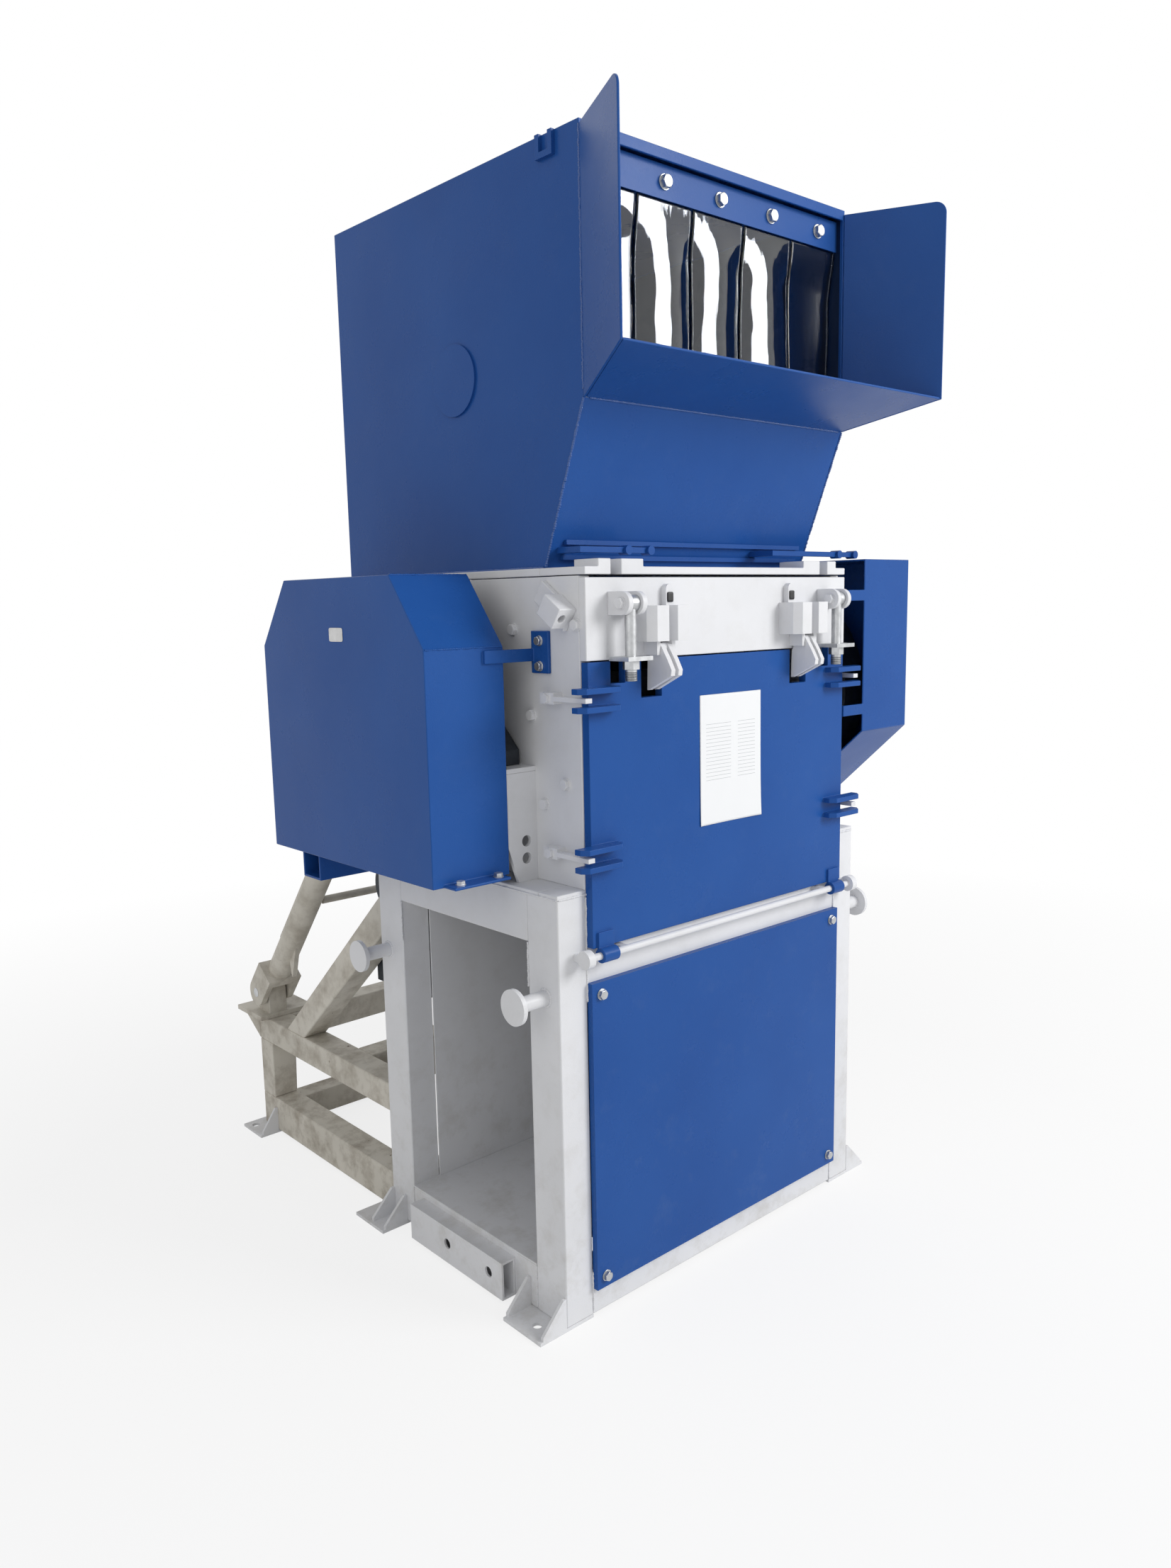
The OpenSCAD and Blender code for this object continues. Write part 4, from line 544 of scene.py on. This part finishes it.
for side, name in ((-1, "left"), (1, "right")):
    bolt = "swing_bolt_" + name
    addPiece(bolt + "_thread", *boltThread(side, threadLook), bodyOfNode[bolt], "dark_iron", darkIron)
print("bolts placed")

# Weld beads
weldLook = {"pitch": 0.0050, "ripple": 0.16, "wander": 0.0005, "ring": 8, "steps": 4,
            "seam": 0.0036, "hopper": 0.0026, "guard": 0.0018, "frame": 0.0024, "bollard": 0.0030}


# Bead: a round tube carried along a straight run whose radius swells as a sine at each drop of the weld,
# its middle wandering a little to each side. Returns one grid for each run, all of one size for its length.
def weldBead(start, end, radius, look, seed):
    start, end = np.asarray(start, float), np.asarray(end, float)
    length = np.linalg.norm(end - start)
    axis, side, other = squareTo(end - start)
    rows = max(int(length / look["pitch"] * look["steps"]), 4)
    s = np.linspace(0, length, rows)
    dice = np.random.default_rng(seed)
    drops = dice.uniform(0.75, 1.2, int(length / look["pitch"]) + 2)
    swell = 1 + look["ripple"] * np.sin(2 * np.pi * s / look["pitch"])
    atDrop, drop = s / look["pitch"], np.arange(len(drops))
    size = radius * swell * np.interp(atDrop, drop, drops)
    size[[0, -1]] = 0
    wander = look["wander"] * np.interp(atDrop, drop, dice.normal(0, 1, len(drops)))
    turn = np.linspace(0, 2 * np.pi, look["ring"], endpoint=False)
    ring = np.cos(turn)[:, None] * side + np.sin(turn)[:, None] * other
    return start + s[:, None, None] * axis + size[:, None, None] * ring + wander[:, None, None] * side


# Bead round a stem or pipe: the same swelling carried round a circle
def ringBead(centre, axis, around, radius, look):
    out, side, other = squareTo(axis)
    rows = int(2 * np.pi * around / look["pitch"] * look["steps"])
    s = np.linspace(0, 2 * np.pi, rows)
    size = radius * (1 + look["ripple"] * np.sin(s * round(2 * np.pi * around / look["pitch"])))
    turn = np.linspace(0, 2 * np.pi, look["ring"], endpoint=False)
    outward = (np.cos(s)[:, None] * side + np.sin(s)[:, None] * other)[:, None, :]
    ring = np.cos(turn)[None, :, None] * outward - np.sin(turn)[None, :, None] * out
    return np.asarray(centre) + around * outward + size[:, None, None] * ring


def placeWelds(name, body, slot, mat, grids):
    points, faces, base = [], [], 0
    for grid in grids:
        p, f = joinGrids(grid[None])
        points.append(p)
        faces.append(f + base)
        base += len(p)
    return addPiece(name, np.concatenate(points), np.concatenate(faces), body, slot, mat)


def bothSides(run):
    (x0, y0, z0), (x1, y1, z1) = run
    return [run, ((-x0, y0, z0), (-x1, y1, z1))]


def layBeads(runs, radius, seed=0):
    return [weldBead(a, b, radius, weldLook, seed + i) for i, (a, b) in enumerate(runs)]


mouthRuns = bothSides(((-0.425, -0.393, 1.990), (-0.425, -0.393, 2.476)))
seamRuns = [((-0.425, -0.265, 1.6495), (0.425, -0.265, 1.6495))]
lipRuns = [((-0.41, -0.3935, 1.976), (0.41, -0.3935, 1.976))]
sideRuns = bothSides(((-0.425, -0.260, 1.6495), (-0.425, 0.500, 1.6495)))
slopeRuns = bothSides(((-0.4245, -0.393, 1.976), (-0.4245, -0.265, 1.650)))
hopperBeads = layBeads(mouthRuns, weldLook["hopper"]) + layBeads(seamRuns, weldLook["seam"], 2)
hopperBeads += layBeads(lipRuns, weldLook["hopper"], 3) + layBeads(sideRuns, weldLook["seam"], 4)
hopperBeads += layBeads(slopeRuns, weldLook["hopper"], 6)
placeWelds("hopper_welds", "hopper", "blue_paint", weldPaint, hopperBeads)

guardRuns = [((-0.716, -0.2342, 1.4900), (-0.522, -0.2342, 1.4900)),
             ((-0.716, -0.119, 1.640), (-0.522, -0.119, 1.640))]
placeWelds("guard_welds", "root", "blue_paint", bluePaint, layBeads(guardRuns, weldLook["guard"], 20))

frameRuns = []
for side in (-1, 1):
    inner, outer = side * 0.4340, side * 0.5130
    for y in (-0.280, 0.210):   # side rails against the posts
        for z in (0.114, 0.864):
            frameRuns.append(((outer, y, z - 0.100), (outer, y, z)))
    frameRuns.append(((inner, -0.3802, 0.110), (inner, -0.3802, 0.010)))
    frameRuns.append(((inner, -0.3802, 0.735), (inner, -0.3802, 0.965)))
    frameRuns.append(((outer, -0.378, 0.9705), (outer, 0.308, 0.9705)))
frameRuns.append(((-0.51, -0.3802, 0.9705), (0.51, -0.3802, 0.9705)))
frameWelds = layBeads(frameRuns, weldLook["frame"], 40)
bollardRoots = [(side * 0.513, y, z) for side in (-1, 1) for y, z in ((-0.334, 0.752), (0.276, 0.728))]
frameWelds += [ringBead(root, (1, 0, 0), 0.0185, weldLook["bollard"], weldLook) for root in bollardRoots]
placeWelds("pedestal_welds", "root", "ivory_paint", ivoryPaint, frameWelds)
print("welds laid")

# Floor, world, lamps and camera
stageLook = {"half": 14.0, "fadeFrom": 1.6, "fadeTo": 4.2, "near": 0.78, "floor": (0.88, 0.88, 0.88),
             "background": 1.0, "sky": 0.52}


# 1 for the rays that show the background: seen straight, mirrored or through the curtain
def seenShare(owner):
    path = addNode(owner, "ShaderNodeLightPath").outputs
    direct = math2(owner, "MAXIMUM", path["Is Camera Ray"], path["Is Glossy Ray"])
    return math2(owner, "MAXIMUM", direct, path["Is Transmission Ray"])


bpy.ops.mesh.primitive_plane_add(size=2 * stageLook["half"], location=(0, 0, 0))
floor = bpy.context.object
floor.name = "floor"
floorMat, floorSurface = startMaterial("paleFloor", Roughness=0.9)
floorSurface.inputs["Base Color"].default_value = (*stageLook["floor"], 1)
distance = addNode(floorMat, "ShaderNodeVectorMath", {0: objectPoint(floorMat)}, operation="LENGTH")
fade = stageLook["fadeFrom"], stageLook["fadeTo"], stageLook["near"], 1.0
away = remap(floorMat, distance.outputs["Value"], *fade)
white = addNode(floorMat, "ShaderNodeEmission", {"Color": (1, 1, 1, 1), "Strength": stageLook["background"]})
whiteShare = math2(floorMat, "MULTIPLY", away, seenShare(floorMat))
shaders = {0: whiteShare, 1: floorSurface.outputs[0], 2: white.outputs[0]}
floorMix = addNode(floorMat, "ShaderNodeMixShader", shaders).outputs[0]
feedSocket(floorMat, floorMix, floorMat.node_tree.nodes["Material Output"], "Surface")
floor.data.materials.append(floorMat)

world = bpy.data.worlds.new("paleRoom")
world.use_nodes = True
scene.world = world
skyStrength = remap(world, seenShare(world), 0.0, 1.0, stageLook["sky"], stageLook["background"])
background = world.node_tree.nodes["Background"]
background.inputs["Color"].default_value = (1, 1, 1, 1)
feedSocket(world, skyStrength, background, "Strength")

lamps = {
    "keyLamp": {"at": (2.6, -4.6, 3.6), "aim": (0.0, 0.0, 1.1), "size": 2.4, "watts": 200},
    "fillLamp": {"at": (-4.6, -1.6, 2.9), "aim": (0.0, 0.2, 1.2), "size": 3.5, "watts": 26},
}


def aimAt(obj, target):
    direction = np.subtract(target, obj.location)
    obj.rotation_euler = Vector(direction).to_track_quat("-Z", "Y").to_euler()


for name, lamp in lamps.items():
    data = bpy.data.lights.new(name, "AREA")
    data.size = lamp["size"]
    data.energy = lamp["watts"]
    obj = bpy.data.objects.new(name, data)
    scene.collection.objects.link(obj)
    obj.location = lamp["at"]
    aimAt(obj, lamp["aim"])

cameraLook = {"at": (-2.006, -2.140, 1.577), "yaw": 41.878, "down": 8.946, "roll": -1.1216,
              "lens": 26.48, "sensor": 36.0}


# Camera axes: forward from yaw and pitch, right and up turned about it by the roll
def placeCamera(look):
    yaw, down, roll = (math.radians(look[k]) for k in ("yaw", "down", "roll"))
    side = np.array([math.cos(yaw), -math.sin(yaw), 0])
    ahead = np.array([math.sin(yaw) * math.cos(down), math.cos(yaw) * math.cos(down), -math.sin(down)])
    top = np.cross(side, ahead)
    right = side * math.cos(roll) + top * math.sin(roll)
    up = np.cross(right, ahead)
    matrix = np.eye(4)
    matrix[:3, 0], matrix[:3, 1], matrix[:3, 2], matrix[:3, 3] = right, up, -ahead, look["at"]
    data = bpy.data.cameras.new("photoCamera")
    data.sensor_fit = "VERTICAL"
    data.sensor_height = look["sensor"]
    data.lens = look["lens"]
    obj = bpy.data.objects.new("photoCamera", data)
    scene.collection.objects.link(obj)
    obj.matrix_world = Matrix(matrix.tolist())
    scene.camera = obj


placeCamera(cameraLook)
scene.view_settings.view_transform = "Standard"
print("stage and camera placed")
